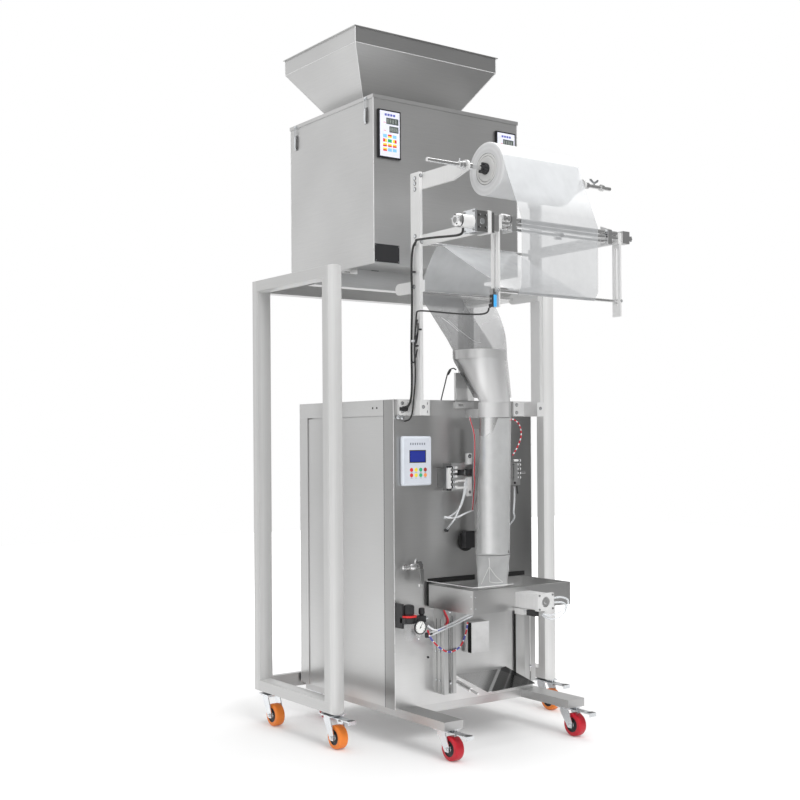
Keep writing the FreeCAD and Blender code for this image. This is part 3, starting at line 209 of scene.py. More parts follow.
def plastic(name, color, rough=0.4, grain=600.0, depth=0.08):
    """Moulded plastic with a fine grain."""
    mt = Mat(name, color, rough)
    n = mt.noise(grain, (1, 1, 1), 2.0)
    mt.tint(mt.rng(mt.noise(24.0), 0.95, 1.04)).vary_rough(n, 0.04).bump(n, depth, 0.0003)
    return mt


def clear(name, color, alpha, rough=0.12, spec=0.5, wave=None):
    """Clear film or plastic with a faint haze, and with ripples where wave gives their scale."""
    mt = Mat(name, color, rough, 0.0, Specular_IOR_Level=spec)
    fog = mt.noise(9.0, (1, 1, 0.35), 3.0)
    mt.link(mt.rng(fog, max(alpha - 0.07, 0.0), alpha + 0.08), mt.p.inputs["Alpha"])
    mt.tint(mt.rng(mt.noise(30.0), 0.96, 1.03))
    if wave:
        mt.bump(mt.noise(wave, (1, 1, 0.25), 3.0), 0.35, 0.002)
    return mt


M = {}
ROLL_Y, ROLL_Z = -660, 1770     # the film roll's axis


def make(maker, **table):
    for key, values in table.items():
        M[key] = maker(key, *values)


make(brushed,
     steel=(0.62, 0.30, "h", 0.022, 0.05, 0.94), steel_v=(0.62, 0.30, "v", 0.04),
     hopper=(0.64, 0.30, "h", 0.035, 0.05), weigher=(0.63, 0.32, "h", 0.035, 0.05, 0.86),
     rail=(0.54, 0.34, "y", 0.03, 0.02, 0.75), beam=(0.72, 0.30, "x", 0.04, 0.03),
     bracket=(0.74, 0.32, "h", 0.02, 0.03, 0.5), strip=(0.40, 0.30, "v", 0.03, 0.03),
     alloy=(0.84, 0.40, "v", 0.03, 0.03, 0.35))
make(shine,
     # the bright corner rods' colour below is a painted edge highlight
     box_face=(0.86, 0.4, 0.3), seam=(0.86, 0.3, 0.35), bright=(0.78, 0.12), chrome=(0.82, 0.10),
     dark_mirror=(0.40, 0.10), zinc=((0.78, 0.80, 0.82), 0.26), alloy_x=(0.72, 0.34), tin=(0.36, 0.36))
make(plastic,
     black=((0.025, 0.025, 0.027), 0.42), rubber=((0.03, 0.03, 0.03), 0.6), void=((0.012, 0.012, 0.012), 0.7),
     orange=((1.0, 0.27, 0.035), 0.42, 420.0, 0.05), red=((0.62, 0.012, 0.03), 0.36, 420.0, 0.05),
     blue=((0.07, 0.42, 0.86), 0.3), white=((0.72, 0.76, 0.82), 0.32),
     face=((0.80, 0.81, 0.93), 0.3), unit_face=((0.62, 0.65, 0.71), 0.3), frame_dark=((0.006, 0.006, 0.008), 0.35),
     lcd=((0.09, 0.105, 0.10), 0.15), digit=((0.30, 0.33, 0.31), 0.3), screen=((0.02, 0.035, 0.28), 0.12),
     key_red=((0.72, 0.03, 0.03), 0.35), key_yellow=((0.90, 0.72, 0.06), 0.35),
     key_green=((0.03, 0.42, 0.18), 0.35), key_blue=((0.25, 0.58, 0.88), 0.35),
     key_orange=((0.92, 0.33, 0.10), 0.35), key_dark=((0.40, 0.04, 0.03), 0.35),
     bars=((0.10, 0.12, 0.45), 0.4), grey_bars=((0.20, 0.22, 0.26), 0.4), dial=((0.88, 0.88, 0.86), 0.3),
     core=((0.70, 0.70, 0.69), 0.6, 300.0), hose_red=((0.62, 0.03, 0.05), 0.35),
     hose_white=((0.85, 0.86, 0.88), 0.3), hose_blue=((0.10, 0.10, 0.45), 0.3))
make(clear,
     film=((0.43, 0.44, 0.45), 0.58, 0.16, 0.6), film_tail=((0.34, 0.345, 0.35), 0.54, 0.12, 0.8, 14.0),
     sleeve=((0.82, 0.83, 0.83), 0.40, 0.10, 1.0, 26.0), bag=((0.82, 0.83, 0.83), 0.40, 0.08, 1.0, 40.0),
     # the white crease colour below is a painted glint along folds of the film
     crease=((0.95, 0.95, 0.95), 0.55, 0.3), bowl=((0.85, 0.87, 0.88), 0.10, 0.05, 0.8),
     hose=((0.84, 0.86, 0.88), 0.62, 0.15, 0.6))
# painted light: the level run under the arms and the lap on the roll are painted brighter than the hanging curtain,
# for the more light they catch
web = M["film"]
painted_light = web.math("MAXIMUM", web.rng(web.axis(1), 0.0, 1.0, -0.524, -0.500), web.rng(web.axis(2), 0.0, 1.0, 1.66, 1.74))
web.tint(web.add(1.0, web.mul(painted_light, 0.70)))


def roll_material():
    """Wound film, streaked round the roll."""
    mt = Mat("film_roll", (0.75, 0.755, 0.76), 0.36, 0.0, Specular_IOR_Level=0.4)
    layers = mt.noise(9.0, (22, 0.6, 0.6), 2.0)
    soft = mt.noise(5.0, (0.4, 1, 1), 2.0)
    mt.tint(mt.rng(layers, 0.985, 1.01)).tint(mt.rng(soft, 0.98, 1.01))
    mt.vary_rough(layers, 0.04).bump(layers, 0.02, 0.0004)
    return mt


def painted_gleam_sheet(name, base, rough, mid_y, metal, stops):
    """Rolled sheet with painted reflections: its tone is painted to vary round the form, with painted gleams and
    painted dark edges from the left of the front to the right.
    """
    mt = Mat(name, (base, base, base), rough, metal)
    c = P(0, mid_y, 0)
    across = mt.add(mt.mul(mt.sub(mt.axis(0), c.x), 0.81), mt.mul(mt.sub(mt.axis(1), c.y), -0.586))
    mt.tint(mt.ramp(mt.rng(across, 0.0, 1.0, -0.07, 0.07), stops, "EASE"))
    mt.tint(mt.rng(mt.noise(9.0, (1, 1, 0.3)), 0.94, 1.05))
    mt.bump(mt.noise(30.0, (1, 1, 0.4)), 0.05, 0.0006)
    return mt


# the funnel and the tube get painted highlights and painted dark edges across their fronts
M["funnel"] = painted_gleam_sheet("funnel_painted_gleams", 1.0, 0.30, -466.0, 0.6,
                     [(0.0, 0.58), (0.18, 0.70), (0.34, 1.0), (0.5, 0.82), (0.75, 0.72), (0.93, 0.85), (1.0, 0.5)])
M["tube"] = painted_gleam_sheet("tube_painted_gleams", 0.95, 0.22, -499.0, 1.0,
                   [(0.10, 0.35), (0.22, 0.9), (0.36, 1.0), (0.46, 0.7), (0.66, 0.82), (0.84, 0.6), (0.92, 0.8)])


def cabinet_material():
    """Brushed front with a painted reflection: painted brighter low down and painted darker towards its right edge,
    with a random mottle.
    """
    mt = brushed("steel_cabinet", 0.60, 0.30, "h", 0.02, 0.04, 0.94)
    front = mt.math("LESS_THAN", mt.axis(1), -0.0915)
    # painted light low down and painted shade towards the right edge, standing for the studio the front mirrors
    low = mt.rng(mt.axis(2), 1.0, 0.0, 0.22, 0.52)
    painted_shade_right = mt.mul(mt.rng(mt.axis(0), 0.0, 0.5, 0.06, 0.27), mt.sub(1.0, low))
    cloud = mt.rng(mt.noise(4.2, (1.6, 1, 0.5)), -0.16, 0.14)
    total = mt.add(mt.sub(mt.mul(low, 0.42), painted_shade_right), cloud)
    mt.tint(mt.add(1.0, mt.mul(total, front)))
    return mt


def chute_material():
    """Polished slopes with painted reflections: painted light on the left one, painted dark with two painted gleams on
    the right one.
    """
    mt = Mat("chute_steel", (0.80, 0.80, 0.80), 0.16, 0.85)
    c = P(-58, -530, 0)
    side = mt.sub(mt.sub(mt.axis(0), c.x), mt.mul(mt.sub(mt.axis(1), c.y), 1.11))
    # painted reflection: light and dark bands, with two painted gleams, across the two slopes
    mt.tint(mt.ramp(mt.rng(side, 0.0, 1.0, -0.06, 0.14), [
        (0.0, 1.15), (0.10, 0.95), (0.20, 0.42), (0.29, 0.25), (0.31, 0.95), (0.36, 0.95),
        (0.38, 0.10), (0.60, 0.08), (0.63, 0.35), (0.67, 0.10), (1.0, 0.18)]))
    mt.bump(mt.noise(20.0), 0.05, 0.0008)
    return mt


def portal_material():
    """Posts brushed upright and rails brushed along, parted by the mitres; soft painted gleams on the posts."""
    post, rail_top, rail_low = 0.45, 1.4655, 0.1495
    mt = Mat("portal_steel", (0.62, 0.62, 0.615), 0.36, 0.3)
    x, y, z = mt.axis(0), mt.axis(1), mt.axis(2)
    pick = mt.node("ShaderNodeMix", data_type="FLOAT")
    mt.link(mt.add(mt.math("GREATER_THAN", z, rail_top), mt.math("LESS_THAN", z, rail_low)), pick.inputs["Factor"])
    mt.link(mt.noise(14.0, (60, 60, 0.5), 3.0), pick.inputs["A"])
    mt.link(mt.noise(14.0, (60, 0.6, 60), 3.0), pick.inputs["B"])
    fine = pick.outputs["Result"]
    mt.tint(mt.rng(fine, 0.96, 1.03)).tint(mt.rng(mt.noise(2.5), 0.97, 1.02))
    # painted light: the right portal is painted brighter, and its inner face painted darker as a painted reflection of
    # the dark cabinet
    right_one = mt.math("GREATER_THAN", x, 0.40)
    painted_dark_inner = mt.mul(right_one, mt.math("LESS_THAN", x, 0.4156))
    mt.tint(mt.add(1.0, mt.sub(mt.mul(right_one, 0.16), mt.mul(painted_dark_inner, 0.56))))
    # painted gleams and a painted darker edge: places across a post's front and along its outer face, for the front
    # and the rear posts
    over = mt.sub(x, mt.sub(mt.mul(right_one, 2 * post), post))
    deep = mt.sub(y, mt.add(0.022, mt.mul(mt.math("GREATER_THAN", y, 0.25), 0.466)))
    for spot, stops in ((over, [(0.0, 1.0), (0.1, 1.04), (0.34, 1.16), (0.6, 1.06), (0.86, 1.02), (1.0, 0.86)]),
                        (deep, [(0.0, 1.0), (0.2, 1.0), (0.38, 1.10), (0.62, 1.0), (1.0, 1.0)])):
        mt.tint(mt.ramp(mt.rng(spot, 0.0, 1.0, -0.035, 0.035), stops))
    mt.vary_rough(fine, 0.05).bump(fine, 0.05, 0.0004)
    return mt


def end_material():
    """Wound film seen from its end: fine rings round the shaft."""
    mt = Mat("roll_end", (0.74, 0.745, 0.75), 0.38)
    c = P(0, ROLL_Y, ROLL_Z)
    value = mt.coord
    for op, vector in (("SUBTRACT", (0, c.y, c.z)), ("MULTIPLY", (0, 1, 1)), ("LENGTH", (0, 0, 0))):
        n = mt.node("ShaderNodeVectorMath", operation=op)
        n.inputs[1].default_value = vector
        mt.link(value, n.inputs[0])
        value = n.outputs[0]
    radius = n.outputs["Value"]
    wave = mt.math("SINE", mt.mul(radius, 2600.0), 0.0)
    slow = mt.math("SINE", mt.mul(radius, 430.0), 0.0)
    mt.tint(mt.rng(wave, 0.955, 1.02, -1, 1)).tint(mt.rng(slow, 0.95, 1.03, -1, 1))
    mt.bump(wave, 0.08, 0.0004)
    return mt


M["cabinet"] = cabinet_material()
M["chute"] = chute_material()
M["portal"] = portal_material()
M["roll"] = roll_material()
M["roll_end"] = end_material()


# ---------------------------------------------------------------- mesh tools
def spline(points, steps):
    """Points of a smooth line through the given ones."""
    pts = [Vector(p) for p in points]
    ext = [2 * pts[0] - pts[1]] + pts + [2 * pts[-1] - pts[-2]]
    line = []
    for a, b, c, d in zip(ext, ext[1:], ext[2:], ext[3:]):
        for k in range(steps):
            t = k / steps
            line.append(0.5 * (2 * b + (c - a) * t + (2 * a - 5 * b + 4 * c - d) * t * t
                               + (3 * b - a - 3 * c + d) * t ** 3))
    return line + [pts[-1]]


def put(name, data, body="machine", replaces=None):
    ob = bpy.data.objects.new(name, data)
    bpy.context.scene.collection.objects.link(ob)
    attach(ob, body)
    if replaces:
        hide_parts(replaces)
    return ob


class Piece:
    """Collects simple solids into one mesh with several materials."""

    def __init__(self, name, slot, body="machine", replaces=None, bevel=0.0):
        self.name, self.slot, self.body, self.replaces, self.bevel = name, slot, body, replaces, bevel
        self.mats, self.bm = [], bmesh.new()

    def faces(self, verts, loops, key):
        if key not in self.mats:
            self.mats.append(key)
        made = [self.bm.verts.new(v) for v in verts]
        for loop in loops:
            f = self.bm.faces.new([made[i] for i in loop])
            f.material_index = self.mats.index(key)
            f.smooth = True
        return self

    def box(self, x0, x1, y0, y1, z0, z1, key):
        v = [P(x, y, z) for z in (z0, z1) for y in (y0, y1) for x in (x0, x1)]
        return self.faces(v, [(0, 2, 3, 1), (4, 5, 7, 6), (0, 1, 5, 4), (2, 6, 7, 3), (0, 4, 6, 2), (1, 3, 7, 5)], key)

    def boxes(self, key, *sizes):
        for size in sizes:
            self.box(*size, key)
        return self

    def skin(self, verts, rows, seg, key, caps=True):
        """Closes rows of seg points each into a tube."""
        loops = [(i * seg + k, i * seg + (k + 1) % seg, (i + 1) * seg + (k + 1) % seg, (i + 1) * seg + k)
                 for i in range(rows - 1) for k in range(seg)]
        if caps:
            loops.append(tuple(range(seg))[::-1])
            loops.append(tuple((rows - 1) * seg + k for k in range(seg)))
        return self.faces(verts, loops, key)

    def lathe(self, start, axis, profile, key, seg=32, caps=True):
        """Turned form: profile is (distance along the axis, radius) from the start point."""
        axis = Vector(axis).normalized()
        side = axis.orthogonal().normalized()
        other = axis.cross(side)
        turns = [2 * math.pi * k / seg for k in range(seg)]
        verts = [P(*start) + (axis * d + (side * math.cos(a) + other * math.sin(a)) * r) / 1000
                 for d, r in profile for a in turns]
        return self.skin(verts, len(profile), seg, key, caps)

    def rod(self, start, end, r, key, seg=20, soft=0.0):
        d = Vector(end) - Vector(start)
        prof = [(0, r), (d.length, r)]
        if soft:
            prof = [(0, r - soft), (soft, r), (d.length - soft, r), (d.length, r - soft)]
        return self.lathe(start, d, prof, key, seg)

    def bolt(self, spot, axis, r, key="zinc", head=3.0):
        """A hexagon head on a washer."""
        self.lathe(spot, axis, [(0, r * 1.45), (0.8, r * 1.45), (0.8, r)], "tin", 16)
        return self.lathe(spot, axis, [(0.6, r), (head * 0.7, r), (head, r * 0.75)], key, 6)

    def slab(self, outline, push, key):
        """A flat outline of (x, y, z) points given thickness by the vector push."""
        n = len(outline)
        v = [P(*p) for p in outline] + [P(*(Vector(p) + Vector(push))) for p in outline]
        loops = [tuple(range(n))[::-1], tuple(range(n, 2 * n))]
        return self.faces(v, loops + [(i, (i + 1) % n, n + (i + 1) % n, n + i) for i in range(n)], key)

    def sweep(self, points, r, key, seg=8, steps=6):
        """A smooth tube through the points."""
        line = spline(points, steps)
        side = (line[1] - line[0]).orthogonal().normalized()
        verts = []
        for i, p in enumerate(line):
            t = (line[min(i + 1, len(line) - 1)] - line[max(i - 1, 0)]).normalized()
            side = (side - t * side.dot(t)).normalized()
            other = t.cross(side)
            for k in range(seg):
                a = 2 * math.pi * k / seg
                verts.append(P(*(p + (side * math.cos(a) + other * math.sin(a)) * r)))
        return self.skin(verts, len(line), seg, key)

    def banded(self, points, r, bands):
        """A spiral-wrapped hose: short lengths of each (material, length) in turn."""
        line = spline(points, 12)
        run, cut, part = 0.0, 0, [line[0]]
        for a, b in zip(line, line[1:]):
            run += (b - a).length
            part.append(b)
            key, length = bands[cut % len(bands)]
            if run > length:
                self.sweep(part, r, key, 8, 1)
                part, run, cut = [b], 0.0, cut + 1
        if len(part) > 1:
            self.sweep(part, r, bands[cut % len(bands)][0], 8, 1)

    def done(self):
        bmesh.ops.recalc_face_normals(self.bm, faces=self.bm.faces)
        mesh = bpy.data.meshes.new(self.name)
        self.bm.to_mesh(mesh)
        self.bm.free()
        for key in self.mats:
            mesh.materials.append(M[key].m)
        mesh.set_sharp_from_angle(angle=math.radians(38))
        ob = put(self.name, mesh, self.body, self.replaces)
        if self.bevel:
            b = ob.modifiers.new("Bevel", "BEVEL")
            b.width, b.segments, b.limit_method = self.bevel / 1000, 2, "ANGLE"
            b.angle_limit = math.radians(40)
            b.harden_normals = False


def sheet(name, rows, key, replaces=None):
    """A smooth film through rows of machine points."""
    bm = bmesh.new()
    table = [[bm.verts.new(P(*p)) for p in row] for row in rows]
    for upper, lower in zip(table, table[1:]):
        for j in range(len(upper) - 1):
            f = bm.faces.new((upper[j], upper[j + 1], lower[j + 1], lower[j]))
            f.smooth = True
    mesh = bpy.data.meshes.new(name)
    bm.to_mesh(mesh)
    bm.free()
    mesh.materials.append(M[key].m)
    put(name, mesh, replaces=replaces)


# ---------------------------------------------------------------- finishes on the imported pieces
FINISH = {
    "portal": ("gantry_portal_left", "gantry_portal_right"),
    "beam": ("gantry_front_beam", "gantry_rear_beams", "weigher_feet", "skid_ties"),
    "rail": ("skid_left", "skid_right"),
    "weigher": ("weigher_body", "weigher_lid"),
    "hopper": ("feed_hopper",),
    "cabinet": ("cabinet_body",),
    "steel": ("cabinet_cap", "jaw_frame"),
    "steel_v": ("jaw_supports", "sealing_bars"),
    "bracket": ("front_brackets",),
    "zinc": ("caster_heads", *(n for n in NODES if n.startswith("caster_fork"))),
    "alloy": ("film_frame_left", "film_frame_right", "hangers", "jaw_cylinder"),
    "alloy_x": ("feed_plates",),
    "chrome": ("roll_shaft", "cross_rods", "feed_rollers", "dancer_rod"),
    "tube": ("forming_tube",),
    "funnel": ("forming_funnel",),
    "chute": ("discharge_chute",),
}
for key, names in FINISH.items():
    for name in names:
        mats = NODES[name].data.materials
        mats.clear()
        mats.append(M[key].m)

# ---------------------------------------------------------------- casters
# colour and row: places left and right of the middle, from front to rear, top of the head, brake pedal
CASTER_ROWS = {("orange", "front"): (450, -240, 105, True), ("orange", "rear"): (450, 146, 105, False),
               ("red", "front"): (252, -566, 93, True), ("red", "rear"): (252, 130, 93, False)}
TRAIL, AXLE_Z = 30, 37.5
heads = Piece("caster_bolts", "zinc")
for (color, row, side, sign) in ((*key, *end) for key in CASTER_ROWS for end in (("left", -1), ("right", 1))):
    tag = f"{color}_{row}_{side}"
    out, cy, top, pedal = CASTER_ROWS[color, row]
    cx = sign * out
    hub = (cx - 16, cy - TRAIL, AXLE_Z)
    w = Piece("wheel_" + tag, color + "_tyre", body="wheel_" + tag, replaces="caster_wheel_" + tag)
    w.lathe(hub, RIGHT, [(0.2, 24), (0.2, 33.5), (1.2, 35.6), (3.6, 36.9), (8, 37.35), (16, 37.45), (24, 37.35),
                         (28.4, 36.9), (30.8, 35.6), (31.8, 33.5), (31.8, 24)], color, 56, caps=False)
    for a, d in ((0.2, 1), (31.8, -1)):
        w.lathe(hub, RIGHT, [(a, 24), (a + d * 2.4, 23.2), (a + d * 3.4, 17), (a + d * 1.2, 15), (a + d * 1.2, 9)],
                "black", 40, caps=False)
        w.lathe(hub, RIGHT, [(a + d * 1.2, 9), (a, 8.4), (a, 5.2)], "zinc", 24, caps=False)
    w.lathe(hub, RIGHT, [(0.3, 5.2), (31.7, 5.2)], "zinc", 24, caps=False)
    w.done()
    f = Piece("fork_detail_" + tag, "zinc", body="fork_" + tag)
    for sx in (-1, 1):
        x = cx + sx * 24
        f.lathe((x, cy - TRAIL, AXLE_Z), (sx, 0, 0), [(0, 7), (1.2, 7), (1.2, 6), (5.0, 6), (6.0, 4.6)], "zinc", 6)
    crown = top - 9.3
    f.lathe((cx, cy, crown + 3.0), UP, [(0, 24), (1.6, 25), (2.9, 24)], "zinc", 36)
    if pedal:
        f.box(cx - 14, cx + 14, cy - 112, cy - 96, crown + 3, crown + 4.2, "zinc")
        for k in range(4):
            f.box(cx - 11, cx + 11, cy - 109 + 4 * k, cy - 107.4 + 4 * k, crown + 4.2, crown + 5.2, "tin")
        f.rod((cx - 17, cy - 60, crown - 1), (cx + 17, cy - 60, crown - 1), 3.2, "tin", 12)
    f.done()
    for sx in (-1, 1):
        for sy in (-1, 1):
            heads.lathe((cx + 23 * sx, cy + 23 * sy, top - 3), DOWN, [(0, 5.4), (3.4, 5.4), (4.2, 4.4)], "zinc", 6)
heads.done()

# ---------------------------------------------------------------- roll, core and chucks
ROLL_C = (-162, ROLL_Y, ROLL_Z)
r = Piece("roll_of_film", "film_roll", body="roll", replaces="film_roll")
r.lathe(ROLL_C, RIGHT, [(1.5, 78.5), (3, 79.7), (155, 79.9), (309, 79.7), (310.5, 78.5)], "roll", 96, caps=False)
for a, d in ((0.6, 1), (311.4, -1)):
    r.lathe(ROLL_C, RIGHT, [(a + 0.9 * d, 78.5), (a + 0.2 * d, 76), (a, 60), (a + 0.8 * d, 47.6)], "roll_end", 96,
            caps=False)
    r.lathe(ROLL_C, RIGHT, [(a + 0.8 * d, 47.6), (a + 2.2 * d, 47.2), (a + 2.2 * d, 46.2)], "tin", 64, caps=False)
    r.lathe(ROLL_C, RIGHT, [(a + 2.2 * d, 46.2), (a, 45.4), (a, 39.2), (a + 2, 38.6)], "core", 64, caps=False)
r.lathe(ROLL_C, RIGHT, [(1, 38.6), (311, 38.6)], "core", 48, caps=False)
r.done()
c = Piece("roll_chucks", "black_plastic", body="roll", replaces="core_plugs")
for x0, d in ((-162, -1), (150, 1)):
    c.lathe((x0 - 4 * d, ROLL_Y, ROLL_Z), (d, 0, 0), [(0, 37.6), (3, 37.6), (4, 36.4), (4, 15)], "core", 48,
            caps=False)
    c.lathe((x0, ROLL_Y, ROLL_Z), (d, 0, 0),
            [(0, 15), (0, 17), (4, 17), (5, 14), (9, 13), (10, 10), (20, 9.4), (20, 6.3)], "black", 24, caps=False)
    for k in range(3):
        a = math.radians(90 + 120 * k)
        py, pz = ROLL_Y + 14 * math.cos(a), ROLL_Z + 14 * math.sin(a)
        c.rod((x0 + 3 * d, py, pz), (x0 + 16 * d, py, pz), 4.6, "black", 14, 1.0)
c.done()

# ---------------------------------------------------------------- film
# the web's line from the side, (y, z): off the roll, down the feed, round the dancer, back under the arms and down
DOWN_RUN = [(-734.8, 1800.6), (-760, 1738), (-785, 1680), (-805, 1632), (-818.4, 1599), (-818.6, 1560),
            (-818.4, 1500), (-818.2, 1440), (-817.0, 1404), (-806.5, 1389), (-805.0, 1382), (-801, 1379.4),
            (-796.5, 1380.3)]
BACK_RUN, SAG = ((-796.5, 1380.3), (-431.5, 1579.0)), 5.0
LAST_RUN = [(-427, 1579.6), (-423, 1577.5), (-395, 1545), (-360, 1495), (-330, 1450), (-321, 1444.4), (-316, 1441),
            (-315.4, 1436)]
WEB_LEFT, WEB_WIDE, TUBE_Y = -163, 310, -499


def web_path():
    (y0, z0), (y1, z1) = BACK_RUN
    back = [(y0 + (y1 - y0) * t, z0 + (z1 - z0) * t - SAG * math.sin(math.pi * t))
            for t in (i / 8 for i in range(1, 9))]
    return DOWN_RUN + back + LAST_RUN


def web_row(i, y, z):
    ripple = [0.3 * math.sin(i * 0.9 + t * 9.0) if 4 < i < 20 else 0.0 for t in (j / 12 for j in range(13))]
    return [(WEB_LEFT + WEB_WIDE * j / 12, y + r, z) for j, r in enumerate(ripple)]


sheet("film_web", [web_row(i, y, z) for i, (y, z) in enumerate(web_path())], "film", "film_web")


def tail_rows(low, high, off):
    """The film's tail from the rear guide down to the neck: flat at the top, then wrapped round the funnel.
    low and high are its edges, -1 to 1 across the front; off keeps a fold clear of the layer under it."""
    z_top, z_wrapped, drop = 1435, 1250, 342
    rows = []
    for i in range(27):
        t = i / 26
        z = z_top - t * drop
        join = min(1.0, (z_top - z) / (z_top - z_wrapped))
        down = min(1.0, max(0.0, (1218 - z) / (1218 - 1077)))
        cy, rad = -433 - 69 * down, 85.5 - 30 * down + off
        row = []
        for j in range(33):
            s = low + (high(join) - low) * j / 32
            turn = math.radians(33 + 93 * s)
            fold = abs(2.2 * math.sin(5 * math.pi * s + 6 * t)) * join * (1 - 0.8 * down)
            flat = (-8 + 155 * s + max(s, 0) * 60 * join, -315.4 + off)
            arc = ((rad + fold) * math.sin(turn), cy + (rad + fold) * math.cos(turn))
            row.append((flat[0] + (arc[0] - flat[0]) * join, flat[1] + (arc[1] - flat[1]) * join, z))
        rows.append(row)
    return rows


def ring(cx, z, rx, ry, wobble, seed):
    """A level ring of film round the tube, uneven by the share wobble."""
    row = []
    for k in range(73):
        a = 2 * math.pi * (k % 72) / 72
        w = 1 + wobble * (math.sin(3 * a + seed) * 0.5 + math.sin(7 * a + 2.1 * seed) * 0.35
                          + math.sin(13 * a - seed) * 0.25)
        row.append((cx + rx * w * math.cos(a), TUBE_Y + ry * w * math.sin(a), z))
    return row


def bag_ring(i, t):
    wide, deep = (58 + 4 * t) * (1 - 0.02 * math.sin(t * 9)), 49 - 40 * t ** 1.15
    return ring(-8 - 2 * t, 594 - t * 103, wide, deep, 0.030 * math.sin(math.pi * min(1, t * 1.15 + 0.08)), i * 0.23)


# thin white lines along folds of the film: painted glints
def glint_creases(name, *lines):
    piece = Piece(name, "film")
    for r, *points in lines:
        piece.sweep(points, r, "crease", 6)
    piece.done()


sheet("film_tail", tail_rows(-1, lambda w: 1, 0.0), "film_tail")
sheet("film_tail_fold", tail_rows(-0.97, lambda w: 0.12 + 0.3 * w, 1.6), "film_tail")
# painted glints along two folds of the tail
glint_creases("film_crease_glints", (0.9, (-118, -383, 1351), (-90, -392, 1331), (-62, -402, 1307)),
        (0.7, (-98, -392, 1343), (-60, -402, 1312), (-5, -404, 1281), (30, -400, 1276)))
sheet("film_sleeve", [ring(6 - 15 * t, 1029 - 432 * t, 50 + 8 * t, 50 - t, 0.006, i * 0.13)
                      for i, t in ((i, i / 54) for i in range(55))], "sleeve", "film_tube")
sheet("film_bag", [bag_ring(i, i / 22) for i in range(23)], "bag")
# painted glints along the bag's folds
glint_creases("bag_crease_glints", (0.9, (-70, -514, 506), (-65, -526, 532), (-54, -534, 560)),
        (0.9, (-53, -535, 560), (-42, -522, 512)), (0.9, (-41, -521, 512), (-14, -520, 507), (18, -514, 506)),
        (0.9, (-53, -535, 560), (-22, -528, 530), (18, -516, 506)),
        (0.9, (-56, -536, 590), (-55, -537, 574), (-53, -535, 560)))

# ---------------------------------------------------------------- weigher: panels, plate, latches, seams
p = Piece("weigher_panels", "panel", replaces="weigher_panels", bevel=1.2)
# two halves of each key: left and right in the second row, upper and lower in the others
BLUE, GREEN = ("key_blue", "key_blue"), ("key_green", "key_green")
WARM, SUN = ("key_red", "key_yellow"), ("key_yellow", "key_red")
KEYS = [[BLUE, WARM, BLUE], [WARM, GREEN, SUN], [SUN, SUN, SUN], [SUN, BLUE, BLUE]]
detail = Piece("panel_keys", "white_plastic")
for x0 in (-278, 216):
    p.box(x0, x0 + 88, -266.5, -257, 1868, 2024, "frame_dark")
    detail.box(x0 + 5, x0 + 83, -267.0, -266.2, 1873, 2019, "face")
    f0, f1 = -267.35, -266.6
    for z0, x1 in ((1978, 30), (1952, 42)):
        detail.box(x0 + x1, x0 + 78, f0, f1, z0, z0 + 20, "lcd")
        for k in range(4):
            xk = x0 + x1 + 3 + k * (42 if x1 == 30 else 31) / 4
            detail.box(xk, xk + 5.5, f0 - 0.1, -266.8, z0 + 4, z0 + 16, "digit")
            detail.boxes("lcd", (xk + 1.6, xk + 3.9, f0 - 0.15, -266.8, z0 + 5.6, z0 + 9),
                         (xk + 1.6, xk + 3.9, f0 - 0.15, -266.8, z0 + 11, z0 + 14.4))
        for k in range(2):
            detail.box(x0 + 20 + 5 * k, x0 + 23 + 5 * k, f0, f1, z0 + 3, z0 + 5, "key_red")
    for k in range(4):
        detail.box(x0 + 24 + 11 * k, x0 + 32 + 11 * k, f0, f1, 2004, 2011, "bars")
    for row, keys in enumerate(KEYS):
        for col, (one, two) in enumerate(keys):
            kx, kz = x0 + 17 + 19 * col, 1934 - 14.6 * row
            if one == two:
                detail.box(kx, kx + 15, f0, f1, kz, kz + 10, one)
            elif row == 1:
                detail.box(kx, kx + 7.5, f0, f1, kz, kz + 10, one)
                detail.box(kx + 7.5, kx + 15, f0, f1, kz, kz + 10, two)
            else:
                detail.box(kx, kx + 15, f0, f1, kz, kz + 5, two)
                detail.box(kx, kx + 15, f0, f1, kz + 5, kz + 10, one)
p.done()
detail.done()

t = Piece("rating_plate", "black_plastic", bevel=0.4)
t.box(-290, -193, -258.4, -257, 1533, 1591, "black")
for sx in (-286, -197):
    for sz in (1537, 1587):
        t.lathe((sx, -258.4, sz), FRONT, [(0, 1.6), (0.8, 1.2)], "zinc", 10)
t.done()

